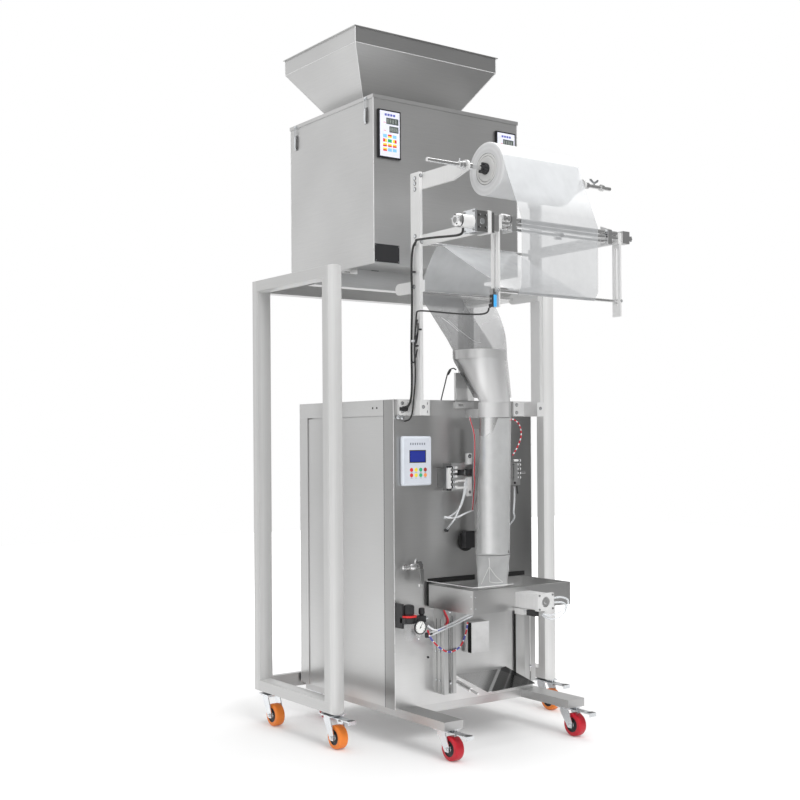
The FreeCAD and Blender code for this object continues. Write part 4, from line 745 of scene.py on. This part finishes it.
la = Piece("lid_latches", "zinc", replaces="lid_latches", bevel=0.5)
for sx in (-1, 1):
    w0 = 13 + sx * 305
    for y0 in (-227, 209):
        def out(a, b, w0=w0, sx=sx):
            return (w0 + a, w0 + b) if sx > 0 else (w0 - b, w0 - a)
        ym = y0 + 9
        la.box(*out(0, 1.6), y0 + 1, y0 + 17, 1981, 2034, "tin")
        la.box(*out(1.6, 7.4), y0 + 3, y0 + 4.6, 1988, 2030, "dark_mirror")
        la.box(*out(1.6, 7.4), y0 + 13.4, y0 + 15, 1988, 2030, "tin")
        la.slab([(w0 + sx * 7.2, ym - 6, 2030), (w0 + sx * 7.2, ym + 6, 2030), (w0 + sx * 8.6, ym + 5, 1992),
                 (w0 + sx * 5.0, ym + 3.4, 1981.5), (w0 + sx * 5.0, ym - 3.4, 1981.5), (w0 + sx * 8.6, ym - 5, 1992)],
                (-1.4 * sx, 0, 0), "zinc")
        la.rod((w0 + sx * 4.5, y0 + 2, 2024), (w0 + sx * 4.5, y0 + 16, 2024), 1.6, "zinc", 10)
        for dy in (-4, 4):
            la.rod((w0 + sx * 5, ym + dy, 2022), (w0 + sx * 6.4, ym + dy, 2064), 1.2, "zinc", 8)
        la.rod((w0 + sx * 6.4, ym - 4, 2064), (w0 + sx * 6.4, ym + 4, 2064), 1.2, "zinc", 8)
        la.box(*out(3, 4.6), y0 + 2, y0 + 16, 2058.5, 2068, "zinc")
        la.slab([(w0 + sx * 4.6, ym - 5, 2061), (w0 + sx * 4.6, ym + 5, 2061), (w0 + sx * 8.4, ym + 5, 2064),
                 (w0 + sx * 8.4, ym - 5, 2064)], (0, 0, 1.4), "zinc")
        for dz in (1986, 2010):
            la.lathe((w0 + sx * 1.6, ym, dz), (sx, 0, 0), [(0, 2.2), (1.2, 1.4)], "zinc", 12)
la.done()

# thin rounded rods along the edges where sheets meet, painted bright as edge highlights: hopper corners and rim,
# weigher's corners, cabinet's corners
s = Piece("edge_gleams", "polished_steel")
hx0, hx1, hy0, hy1 = -311, 285, -185, 260          # the hopper's band
tx0, tx1, ty0, ty1 = -186.5, 160.5, -54, 129       # and the foot of its slopes
upper = [(hx0, hy0), (hx1, hy0), (hx1, hy1), (hx0, hy1)]
lower = [(tx0, ty0), (tx1, ty0), (tx1, ty1), (tx0, ty1)]
for i in range(4):
    s.rod((*lower[i], 2071), (*upper[i], 2253), 1.5, "seam", 8)
    s.rod((*upper[i], 2253), (*upper[i], 2303), 1.5, "seam", 8)
    s.rod((*upper[i], 2253), (*upper[(i + 1) % 4], 2253), 1.1, "seam", 8)
for x in (-292, 318):
    for y in (-257, 257):
        s.rod((x, y, 1527), (x, y, 2058), 1.4, "seam", 8)
for x in (-305, 268):
    for y in (-375, 186):
        s.rod((x, y, 119.5), (x, y, 1086), 1.0, "seam", 8)
s.rod((-181, -376, 512), (-181, -609, 512), 1.2, "seam", 8)
s.rod((-181, -609, 512), (-20, -609, 512), 1.2, "seam", 8)
s.done()

# holes and small parts on the cabinet, with a painted shadow plate on the box's left face and a painted highlight
# plate on the cap's post
k = Piece("cabinet_marks", "black_plastic")
for sx, d in ((-305.2, -1), (268.2, 1)):
    for y in (-262, -285):
        k.lathe((sx, y, 1062), (d, 0, 0), [(-0.4, 3.4), (0.15, 3.4)], "void", 16)
k.boxes("void", (-175, 17, -377.5, -374.5, 503, 519), (-181.7, -180.8, -388, -376, 434, 512))
for y, w, key in ((-390, 2.0, "void"), (-411, 1.6, "void"), (-413.4, 1.2, "alloy"), (-392.6, 1.2, "alloy")):
    k.box(-151.7, -150.8, y - w / 2, y + w / 2, 158, 392, key)
k.box(-133, -131.4, -427.7, -426.8, 158, 392, "void")
k.box(-121, -116, -427.7, -426.8, 158, 402, "tin")
for y, z in ((-386, 198), (-405, 197), (-386, 289), (-405, 290)):
    k.lathe((-151.2, y, z), LEFT, [(0, 4), (2, 4), (2.6, 3)], "zinc", 12)
k.boxes("void", (160, 233, -377.5, -374.5, 503, 517), (-305.5, -304.8, -323.4, -321.4, 119, 1086))
k.box(-305.4, -304.8, -374.6, -323.4, 119, 1086, "strip")
# painted shadow: a black plate on the box's left face
k.box(-19.9, -18.9, -401, -384, 269, 367, "void")
k.box(-18.5, 55, -401.9, -400.9, 269, 367, "box_face")
k.box(186.2, 186.9, -383, -375.6, 175, 400, "void")
k.box(209, 213, -427.8, -426.6, 188, 376, "alloy")
k.boxes("void", (-70, -30, -258.0, -256.8, 1527.5, 1530), (-262, 268, -46, -36, 1526.3, 1527.4),
        (-204, -176, -118, -100, 1526.4, 1527.4))
# painted highlight: a bright plate on the lower front of the cap's post
k.box(-50, -2, -368.8, -367.6, 1088, 1127, "alloy")
k.done()

# ---------------------------------------------------------------- control unit
UX = -282.5
u = Piece("control_unit", "white_plastic", replaces="control_unit", bevel=6)
u.box(UX, UX + 116, -390.4, -375, 816, 972, "white").done()
u = Piece("control_unit_face", "white_plastic", bevel=0.6)
u.box(UX + 7, UX + 109, -390.9, -389.8, 823, 965, "unit_face")
u.box(UX + 27, UX + 92, -391.0, -390.2, 888, 928, "frame_dark")
u.box(UX + 30, UX + 89, -391.15, -390.4, 891, 925, "screen")
for i in range(7):
    u.box(UX + 30 + i * 9, UX + 35 + i * 9, -391.0, -390.4, 944, 951, "grey_bars")
for row, last in enumerate(("key_dark", "key_orange")):
    for col, key in enumerate(("key_red", "key_yellow", "key_green", last)):
        u.lathe((UX + 35 + 18 * col, -390.6, 866 - 17 * row), FRONT, [(0, 6.4), (0.5, 6.4), (0.7, 5.4)], key, 24)
    for col in range(4):
        u.box(UX + 31 + 18 * col, UX + 39 + 18 * col, -391.0, -390.5, 856.5 - 17 * row, 858 - 17 * row, "grey_bars")
u.done()

# ---------------------------------------------------------------- film frame fittings
b = Piece("frame_bolts", "zinc")
for sx in (-1, 1):
    for z in (1772, 1756, 1738, 1592, 1568, 1436):
        b.bolt((sx * 255, -428 if z > 1500 else -420, z), (sx, 0, 0), 5.0)
    x0 = -290 if sx < 0 else 184
    for dx in (14, 108):
        for z in (1049, 1075):
            b.bolt((x0 + dx, -383, z), FRONT, 4.0, "zinc", 2.6)
    b.bolt((sx * 249, -450, 1778), FRONT, 4.2)
    b.bolt((sx * 249 + 3, -450, 1573), FRONT, 5.0)
    b.bolt((sx * 244, -450, 1062), FRONT, 4.0)
    b.bolt((sx * 249, -816.5, 1385), FRONT, 3.0)
b.done()
sh = Piece("shaft_fittings", "zinc", bevel=0.3)
sh.lathe((-268, ROLL_Y, ROLL_Z), RIGHT, [(0, 9), (1, 10.5), (12, 10.5), (13, 9)], "alloy_x", 24)
sh.lathe((-233, ROLL_Y, ROLL_Z), RIGHT, [(0, 10.5), (14, 10.5), (15, 9)], "chrome", 24)
sh.rod((-261, ROLL_Y, 1780), (-261, ROLL_Y, 1789), 3.0, "zinc", 12, 0.6)
sh.lathe((249, ROLL_Y, ROLL_Z), RIGHT, [(0, 9), (1, 10.5), (13, 10.5), (14, 9)], "alloy_x", 24)
sh.rod((290, ROLL_Y, 1776), (290, ROLL_Y, 1786), 3.2, "zinc", 12)
for d in (-1, 1):
    sh.slab([(290, -661.5, 1784), (290 + d * 13, -661.5, 1794), (290 + d * 20, -661.5, 1793),
             (290 + d * 18, -661.5, 1787), (290 + d * 6, -661.5, 1780)], (0, 3, 0), "zinc")
sh.done()

# ---------------------------------------------------------------- gear motor and coupling
MOTOR_Y, MOTOR_Z = -812, 1570
g = Piece("gear_motor", "light_alloy", replaces="gear_motor", bevel=0.8)
g.box(-345, -337, -829, -777, 1541, 1605, "zinc")
g.box(-337, -296, -826, -780, 1543, 1603, "tin")
g.box(-296, -283, -828, -778, 1541, 1605, "alloy")
g.box(-283, -270, -825, -781, 1544, 1602, "dark_mirror")
g.box(-270, -249, -820, -786, 1550, 1598, "alloy_x")
g.lathe((-345, MOTOR_Y, MOTOR_Z), LEFT, [(0, 19.6), (3, 19.6), (4, 18.4), (36, 18.4), (37, 19.6), (41, 19.6)],
        "alloy", 40)
g.lathe((-386, MOTOR_Y, MOTOR_Z), LEFT, [(0, 18.6), (4, 18.6)], "black", 40)
g.lathe((-390, MOTOR_Y, MOTOR_Z), LEFT, [(0, 19.2), (7, 18.8), (11, 16.4), (13.4, 12)], "chrome", 40)
g.lathe((-403.2, MOTOR_Y, MOTOR_Z), LEFT, [(0, 9), (0.6, 8)], "tin", 24)
for k in range(5):
    an = math.radians(72 * k + 20)
    y, z = MOTOR_Y + 14.4 * math.cos(an), MOTOR_Z + 14.4 * math.sin(an)
    g.rod((-402, y, z), (-404, y, z), 2.0, "black" if k % 2 else "zinc", 10)
for y in (-823, -783):
    for z in (1547, 1599):
        g.lathe((-345, y, z), LEFT, [(0, 3.0), (2.2, 3.0), (2.6, 2.0)], "tin", 12)
g.lathe((-316, -826, 1573), FRONT, [(0, 9), (1.4, 9), (1.8, 4)], "zinc", 24)
for x, z in ((-328, 1556), (-328, 1590), (-304, 1556), (-304, 1590)):
    g.lathe((x, -826, z), FRONT, [(0, 3.4), (1.2, 3.0)], "black", 12)
    g.lathe((x + 5, -826, z + 2), FRONT, [(0, 2.0), (1.0, 1.8)], "zinc", 10)
g.done()
cp = Piece("feed_coupling", "polished_steel", bevel=0.4)
cp.lathe((-234, -809, 1592), RIGHT, [(0, 12), (1, 13), (12, 13), (13, 11), (16, 11), (17, 13), (28, 13), (29, 12)],
         "chrome", 32)
cp.rod((-220, -822, 1592), (-220, -818, 1592), 2.6, "tin", 10)
for x, axis in ((-195, RIGHT), (195, LEFT)):
    cp.lathe((x, -809, 1592), axis, [(0, 9), (8, 9), (9, 8)], "zinc", 6)
cp.lathe((279, -811, 1581), RIGHT, [(0, 3), (22, 3), (22.5, 2.4)], "chrome", 12)
for d in (-1, 1):
    cp.slab([(290, -812.5, 1581 + d * 2), (296, -812.5, 1581 + d * 9), (299, -812.5, 1581 + d * 8),
             (297, -812.5, 1581 + d * 2)], (0, 3, 0), "zinc")
cp.lathe((8, -805, 1566), FRONT, [(0, 6), (5, 6), (6, 5)], "black", 16)
cp.done()

# photo eye details
e = Piece("photo_eye_body", "blue_plastic", replaces="photo_eye", bevel=0.6)
e.box(-272, -256, -816, -805, 1337, 1371, "blue")
e.box(-272.4, -267.5, -816.5, -804, 1336, 1371, "black")
e.boxes("tin", (-262, -251, -806, -786, 1368, 1371), (-262, -251, -807, -793, 1372, 1390))
for z, r in ((1360, 3), (1347, 2.4)):
    e.lathe((-272.3, -810, z), LEFT, [(0, r), (0.6, r)], "tin", 16)
e.lathe((-262, -793, 1346), DOWN, [(0, 4), (6, 3.4), (10.2, 2.8)], "black", 14)
e.done()

# ---------------------------------------------------------------- cords along the left upright
MOTOR_CORD = [(-374, -812, 1549.8), (-374, -812, 1536), (-377, -795, 1532), (-370, -755, 1536), (-351, -645, 1549),
              (-321, -525, 1562), (-292, -480, 1569), (-266, -450, 1574), (-262, -423, 1560), (-262, -416, 1500),
              (-262, -420, 1400), (-262, -413, 1250), (-262, -416, 1146), (-262, -413, 1095), (-264, -404, 1068),
              (-271, -395, 1062), (-272, -383.4, 1062)]
EYE_CORD = [(-262, -788, 1335.8), (-262, -788, 1325), (-266, -768, 1319), (-268, -710, 1324), (-276, -650, 1331),
            (-288, -525, 1350), (-277, -465, 1356), (-262, -441, 1350), (-260, -434, 1310), (-260, -425, 1250),
            (-260, -434, 1160), (-261.5, -424, 1092), (-262, -420, 1059), (-262, -412, 1032), (-262, -396, 1020),
            (-262, -375.6, 1019)]


def cord(name, route, wide, replaces):
    """A cord that the machine holds at both ends and along the upright."""
    cu = bpy.data.curves.new(name, "CURVE")
    cu.dimensions = "3D"
    cu.bevel_depth = wide / 2000
    cu.bevel_resolution = 4
    sp = cu.splines.new("NURBS")
    sp.points.add(len(route) - 1)
    for pt, xyz in zip(sp.points, route):
        pt.co = (*P(*xyz), 1)
    sp.order_u = 3
    sp.use_endpoint_u = True
    cu.materials.append(M["rubber"].m)
    put(name, cu, replaces=replaces)


cord("motor_lead", MOTOR_CORD, 7.0, "motor_cord")
cord("eye_lead", EYE_CORD, 5.0, "eye_cord")


# ---------------------------------------------------------------- seal parts, hoses and fittings on the cabinet
h = Piece("air_hoses", "glass")
LEFT_HOSE = [(-28, -418, 1034), (-50, -440, 1026), (-40, -448, 975), (-39, -448, 905), (-40, -446, 854),
             (-33, -440, 824), (-22, -420, 775), (-8, -398, 732)]
h.sweep(LEFT_HOSE, 2.7, "hose_white")
h.sweep([(x - 1.0, y - 1.6, z) for x, y, z in LEFT_HOSE], 1.9, "hose_red")
h.banded([(152, -398, 1022), (164, -405, 1026), (180, -412, 1012), (188, -414, 991), (188, -414, 967),
          (177, -412, 938), (159, -405, 906)], 2.4, [("hose_red", 9), ("hose_white", 5)])
h.sweep([(-53, -425, 834), (-63, -428, 792), (-80, -425, 745), (-99, -405, 719), (-109, -380, 708)], 3.0, "hose")
h.sweep([(-60, -425, 834), (-72, -428, 774), (-99, -425, 715), (-107, -410, 691), (-100, -380, 672)], 3.0, "hose")
h.sweep([(-109, -380, 713), (-101, -398, 710), (-72, -402, 712), (-39, -402, 723), (-6, -398, 731)], 3.0,
        "hose_white")
h.sweep([(166, -405, 805), (160, -412, 762), (156, -412, 719), (165, -405, 699), (165, -380, 674)], 3.0, "hose")
h.sweep([(-204, -412, 377), (-191, -420, 365), (-175, -425, 361)], 3.0, "hose_white")
h.sweep([(-175, -425, 361), (-160, -427, 363), (-148, -428, 368)], 3.0, "hose_blue")
h.sweep([(-148, -428, 368), (-137, -430, 390), (-154, -430, 423)], 3.0, "hose_red")
h.banded([(-205, -412, 363), (-201, -425, 337), (-174, -435, 307), (-135, -436, 290), (-89, -430, 302),
          (-58, -420, 338), (-34, -400, 369)], 2.8,
         [("hose_red", 16), ("hose_white", 3), ("hose_blue", 14), ("hose_white", 3)])
h.sweep([(-211, -412, 339), (-165, -430, 359), (-109, -440, 378), (-58, -455, 399)], 3.0, "hose")
h.sweep([(-203, -412, 351), (-161, -430, 368), (-113, -440, 386), (-68, -455, 406)], 3.0, "hose")
h.sweep([(13, -706, 428), (34, -712, 422), (67, -713, 425), (96, -713, 436), (114, -712, 452), (109, -710, 466),
         (84, -708, 473), (54, -706, 472)], 3.2, "hose")
h.sweep([(13, -700, 424), (42, -706, 410), (75, -708, 410), (101, -708, 423), (111, -706, 441), (97, -704, 455),
         (54, -700, 458)], 3.2, "hose")
h.done()

fit = Piece("cylinder_fittings", "zinc", bevel=0.4)
fit.box(-113.5, -112.6, -422, -376, 797, 885, "tin")
fit.box(-137, -125, -434, -426, 805, 873, "alloy")
fit.box(-134, -128, -426, -375, 809, 869, "tin")
for z in (802, 874):
    fit.rod((-139, -432, z), (-123, -432, z), 3.6, "black", 12)
for z in (871, 858, 843, 826, 810):
    fit.rod((-125, -431, z), (-98, -431, z), 4.2, "alloy", 12, 0.6)
    fit.rod((-122, -432.4, z), (-118, -432.4, z), 5.2, "black", 12)
    fit.rod((-115, -431.8, z), (-110, -431.8, z), 5.2, "zinc", 12)
fit.boxes("black", (-90, -76, -440, -423, 846, 864), (-58, -42, -438, -423, 845, 866))
fit.box(-76, -58, -431, -423, 848, 861, "chrome")
fit.boxes("alloy", (-121, -46, -428, -420, 803, 810), (-98, -60, -428, -420, 826, 832),
          (-54, -35, -431, -420, 880, 916), (-54, -36, -431, -420, 779, 841))
fit.lathe((-46, -431, 907), FRONT, [(0, 6), (2, 6), (2.4, 3)], "black", 16)
fit.lathe((-46, -433, 907), FRONT, [(0, 3), (1, 2.6)], "zinc", 12)
fit.lathe((-46, -431, 792), FRONT, [(0, 5), (2, 5)], "tin", 12)
fit.rod((-103, -384, 710), (-103, -372, 710), 5.5, "zinc", 12)
fit.rod((-101, -384, 669), (-101, -372, 669), 5.5, "black", 12)
fit.rod((148, -386, 669), (148, -372, 669), 5.0, "zinc", 12)
for z in (890, 876, 862, 848, 834):
    fit.rod((146, -424, z), (176, -424, z), 4.2, "alloy", 12, 0.6)
    fit.rod((166, -424.4, z), (170, -424.4, z), 5.0, "black", 12)
fit.box(146, 160, -430, -417, 820, 880, "alloy_x")
fit.rod((176, -424, 850), (196, -424, 850), 4.4, "tin", 12)
fit.rod((160, -424, 806), (164, -424, 780), 2.4, "black", 10)
fit.lathe((28, -383, 1042), FRONT, [(0, 9), (6, 9), (8, 7), (10, 7), (11, 5)], "black", 6)
fit.lathe((-20, -376, 631), FRONT, [(0, 33), (3, 33), (5, 28), (6, 14), (8, 12), (12, 10)], "void", 32)
fit.rod((158, -415, 812), (158, -415, 826), 4.6, "black", 14, 0.8)
fit.box(-42, -4, -404, -382, 610, 664, "black")
fit.done()

# ---------------------------------------------------------------- jaw housing details
j = Piece("jaw_details", "zinc", bevel=0.4)
for z in (448, 484):
    j.lathe((-181, -600, z), LEFT, [(0, 3.4), (0.9, 2.6)], "zinc", 12)
    j.lathe((221, -590, z), RIGHT, [(0, 5), (3, 5), (4, 4)], "tin", 6)
    j.lathe((-172, -610, z), FRONT, [(0, 3.2), (0.9, 2.4)], "zinc", 12)
for x in (-10, 44):
    for z in (443, 485):
        j.lathe((x, -717, z), FRONT, [(0, 3.6), (2.0, 3.6), (2.4, 2.6)], "tin", 6)
j.lathe((17, -714, 464), FRONT, [(0, 15.6), (1.2, 15), (1.2, 6), (2.4, 5)], "alloy_x", 32)
for y, z in ((-708, 480), (-706, 456)):
    j.lathe((50, y, z), RIGHT, [(0, 5), (4, 5), (5, 4)], "chrome", 12)
j.box(-15.6, 3, -700, -664, 421, 438, "black")
j.box(-150, -110, -609, -420, 470, 476, "bright")
for x, zz in ((-127, (190, 415)), (211, (205, 415))):
    for z in zz:
        j.lathe((x, -427, z), FRONT, [(0, 5.2), (2.4, 5.2), (3, 4)], "zinc", 6)
j.done()

# ---------------------------------------------------------------- air unit and valve
GX, GZ = -258, 381              # the gauge
AIR_X, AIR_Y = -277, -412       # the unit's own axis
a = Piece("air_gauge", "black_plastic", bevel=0.4)
a.lathe((GX, -432, GZ), FRONT, [(0, 6), (10, 6)], "zinc", 20)
a.lathe((GX, -442, GZ), FRONT, [(0, 20), (0.5, 22), (6.0, 22), (6.4, 19.4), (4.6, 18.6)], "black", 40, caps=False)
a.lathe((GX, -442, GZ), FRONT, [(0.1, 20), (0.3, 8)], "black", 40)
a.lathe((GX, -446, GZ), FRONT, [(0.5, 18.8), (0.9, 18.6)], "dial", 40)
for i in range(11):
    an = math.radians(225 - 27 * i)
    ca, sa = math.cos(an), math.sin(an)
    a.rod((GX + 14.5 * ca, -447.2, GZ + 14.5 * sa), (GX + 17.2 * ca, -447.2, GZ + 17.2 * sa), 0.5, "black", 6)
a.rod((GX - 3, -447.4, GZ - 5), (GX + 7, -447.4, GZ + 12), 0.7, "black", 6)
a.lathe((GX, -447, GZ), FRONT, [(0, 2.4), (1, 2.0)], "black", 12)
a.done()
a = Piece("air_body", "black_plastic", replaces="air_unit", bevel=1.4)
a.lathe((AIR_X, AIR_Y, 391), UP, [(0, 21), (2, 24), (18, 25), (19, 22)], "black", 40)
a.boxes("black", (-303, -250, -428, -398, 393, 409), (-256, -220, -426, -398, 392, 411),
        (-303, -296, AIR_Y, -375, 376, 452))
a.lathe((AIR_X, AIR_Y, 416), UP, [(0, 16), (3, 15), (4, 16.4), (28, 16), (31, 14.6), (32.4, 10)], "black", 40)
for i in range(28):
    an = 2 * math.pi * i / 28
    x, y = AIR_X + 15.6 * math.cos(an), AIR_Y + 15.6 * math.sin(an)
    a.rod((x, y, 421), (x, y, 444), 1.2, "black", 6)
a.lathe((-227.5, AIR_Y, 411), UP, [(0, 7), (4, 7), (5, 9.4), (9, 10), (22, 9.4), (24, 6)], "black", 24)
a.lathe((-220, AIR_Y, 402), RIGHT, [(0, 8), (6, 8), (7, 5.4), (15, 5)], "zinc", 20)
a.lathe((-206, AIR_Y, 340), UP, [(0, 8), (14, 8), (15, 6)], "black", 16)
a.rod((-206, AIR_Y, 347), (-190, -418, 350), 5, "black", 12)
a.rod((-239, AIR_Y, 392), (-239, AIR_Y, 374), 11, "black", 24, 1.0)
a.lathe((-204, AIR_Y, 278), FRONT, [(-2, 3.6), (3, 3.6), (4, 2.4)], "black", 12)
a.rod((-303, -400, 396), (-303, -400, 410), 2.4, "black", 10)
a.done()
a = Piece("air_collar", "red_tyre")
a.lathe((AIR_X, AIR_Y, 410), UP, [(0, 24), (0.8, 25), (5, 25), (5.8, 24)], "key_red", 40)
a.done()
bw = Piece("air_bowl_shell", "glass", replaces="air_bowls")
bw.lathe((AIR_X, AIR_Y, 391.5), DOWN, [(0, 17.8), (38, 17.2), (50, 14), (57, 8), (59, 3)], "bowl", 36, caps=False)
bw.lathe((-239, AIR_Y, 376), DOWN, [(0, 11.6), (22, 11), (30, 8), (34, 3)], "bowl", 28, caps=False)
bw.lathe((-239, AIR_Y, 342), DOWN, [(0, 3.4), (5, 3.4), (6, 2)], "chrome", 12)
bw.done()
VALVE_Y, VALVE_Z = -398, 563
v = Piece("valve_parts", "polished_steel", bevel=0.4)
v.lathe((-290, VALVE_Y, VALVE_Z), RIGHT,
        [(0, 5), (1, 6.4), (8, 6.4), (9, 9), (17, 9), (18, 7.4), (26, 7.4), (30, 10.6), (46, 11.4), (54, 10.6),
         (58, 7.4), (64, 7.4), (65, 9), (74, 9), (75, 6)], "chrome", 32)
for x, r in ((-282, 9.4), (-264, 8.0), (-236, 9.4), (-226, 9.4)):
    v.lathe((x, VALVE_Y, VALVE_Z), RIGHT, [(0, r), (1.6, r)], "tin", 24)
v.rod((-238, VALVE_Y, 572), (-238, VALVE_Y, 584), 6.4, "chrome", 16, 1)
v.lathe((-238, VALVE_Y, 584), UP, [(0, 4), (3, 4), (3.6, 3)], "zinc", 6)
LEVER = [(-250, 580), (-228, 581), (-222, 570), (-221, 520), (-226, 510), (-232, 512), (-234, 560), (-240, 573),
         (-250, 575)]
GRIP = [(-234.5, 556), (-221, 556), (-220, 518), (-226, 508), (-233, 512)]
v.slab([(x, -411.5, z) for x, z in LEVER], (0, -2.2, 0), "dark_mirror")
v.slab([(x, -413.8, z) for x, z in GRIP], (0, -2.0, 0), "tin")
v.rod((-226.5, -400, 498), (-226.5, -400, 509), 3.4, "chrome", 12, 0.8)
v.done()

# ties, connector, thin rod and plug on the left upright and the cap
c = Piece("cable_ties", "black_plastic", bevel=0.2)
for z, y, x in ((1300, -457, -262), (1250, -446, -266), (1200, -430, -268), (1480, -430, -264)):
    c.lathe((x, y, z), (0, 0.1, 1), [(-2, 7), (2, 7)], "black", 16)
c.sweep([(-266, -452, 1330), (-276, -458, 1310), (-280, -458, 1280), (-272, -452, 1258), (-263, -448, 1285),
         (-262, -450, 1320)], 2.2, "black")
c.sweep([(-262, -446, 1290), (-272, -450, 1270), (-276, -450, 1235), (-268, -444, 1215), (-260, -442, 1240)], 2.2,
        "black")
c.lathe((-266, -432, 1266), (0, 0.1, 1), [(-3, 8), (3, 8)], "hose_white", 16)
c.lathe((-287, -384, 1057), RIGHT, [(0, 5.5), (10, 5.5), (11, 8), (24, 8), (25, 6), (32, 6)], "black", 16)
for x, z in ((-290, 1032), (-274, 1031)):
    c.lathe((x, -378, z), FRONT, [(0, 7), (5, 7), (6, 5), (9, 5)], "zinc", 16)
c.sweep([(-105, -360, 1087), (-96, -366, 1130), (-84, -372, 1178), (-70, -378, 1190), (-58, -380, 1186)], 2.0,
        "rubber")
c.rod((-86, -372, 1170), (-78, -376, 1186), 4.2, "black", 12)
c.done()

# ---------------------------------------------------------------- floor
bpy.ops.mesh.primitive_plane_add(size=16, location=(0, 0, -0.0005))
floor = bpy.context.object
floor.name = "floor"
fm = Mat("floor", (0.86, 0.86, 0.86), 0.85)
fm.tint(fm.rng(fm.noise(0.6), 0.995, 1.003))
rays = fm.node("ShaderNodeLightPath").outputs
seen = fm.math("MAXIMUM", rays["Is Camera Ray"], rays["Is Transmission Ray"])
reach = fm.node("ShaderNodeVectorMath", operation="LENGTH")
fm.link(fm.coord, reach.inputs[0])
away = fm.rng(reach.outputs["Value"], 0.0, 0.9, 0.85, 1.7)
# metal shows a darker floor towards the front right, where the studio is dim
across = fm.sub(fm.axis(0), fm.axis(1))
fm.tint(fm.sub(1.0, fm.mul(fm.rng(across, 0.0, 0.72, 1.3, 3.4), rays["Is Glossy Ray"])))
left_glow = fm.mul(rays["Is Glossy Ray"], fm.rng(across, 0.26, 0.0, -1.5, 1.5))
fm.p.inputs["Emission Color"].default_value = (1, 1, 1, 1)
fm.link(fm.add(fm.mul(seen, fm.add(away, 0.15)), left_glow), fm.p.inputs["Emission Strength"])
floor.data.materials.append(fm.m)

# ---------------------------------------------------------------- world
world = bpy.data.worlds.new("studio")
bpy.context.scene.world = world
world.use_nodes = True
world.node_tree.nodes.clear()
wt = Tree(world.node_tree, "Generated")


def background(strength, shade=1.0):
    n = wt.node("ShaderNodeBackground")
    n.inputs["Color"].default_value = (shade, shade, shade, 1)
    if isinstance(strength, float):
        n.inputs["Strength"].default_value = strength
    else:
        wt.link(strength, n.inputs["Strength"])
    return n.outputs[0]


def blend(factor, first, second):
    n = wt.node("ShaderNodeMixShader")
    for i, socket in enumerate((factor, first, second)):
        wt.link(socket, n.inputs[i])
    return n.outputs[0]


# white where the camera looks; metal sees a studio whose far side is dimmer than the side with the light
rays = wt.node("ShaderNodeLightPath").outputs
side = wt.add(wt.mul(wt.axis(0), -0.62), wt.mul(wt.axis(1), 0.62))
side = wt.add(side, wt.mul(wt.axis(2), 0.25))
gloss = background(wt.rng(side, 0.34, 1.08, -0.75, 0.75, "SMOOTHSTEP"), 0.8)
room = blend(rays["Is Glossy Ray"], background(0.62), gloss)
seen = wt.math("MAXIMUM", rays["Is Camera Ray"], rays["Is Transmission Ray"])
wt.link(blend(seen, room, background(1.0)), wt.node("ShaderNodeOutputWorld").inputs[0])


# ---------------------------------------------------------------- lights
def area(name, spot, aim, size, power):
    data = bpy.data.lights.new(name, "AREA")
    data.shape = "SQUARE"
    data.size = size
    data.energy = power
    ob = bpy.data.objects.new(name, data)
    ob.location = spot
    ob.rotation_euler = (Vector(aim) - Vector(spot)).to_track_quat("-Z", "Y").to_euler()
    bpy.context.scene.collection.objects.link(ob)
    return ob


area("key", (-0.8, -4.0, 4.2), (0, 0.2, 1.0), 2.6, 150).visible_glossy = False
area("top", (0.6, 0.6, 5.0), (0, 0.2, 0.8), 3.2, 90)

bpy.context.scene.view_settings.view_transform = "Standard"
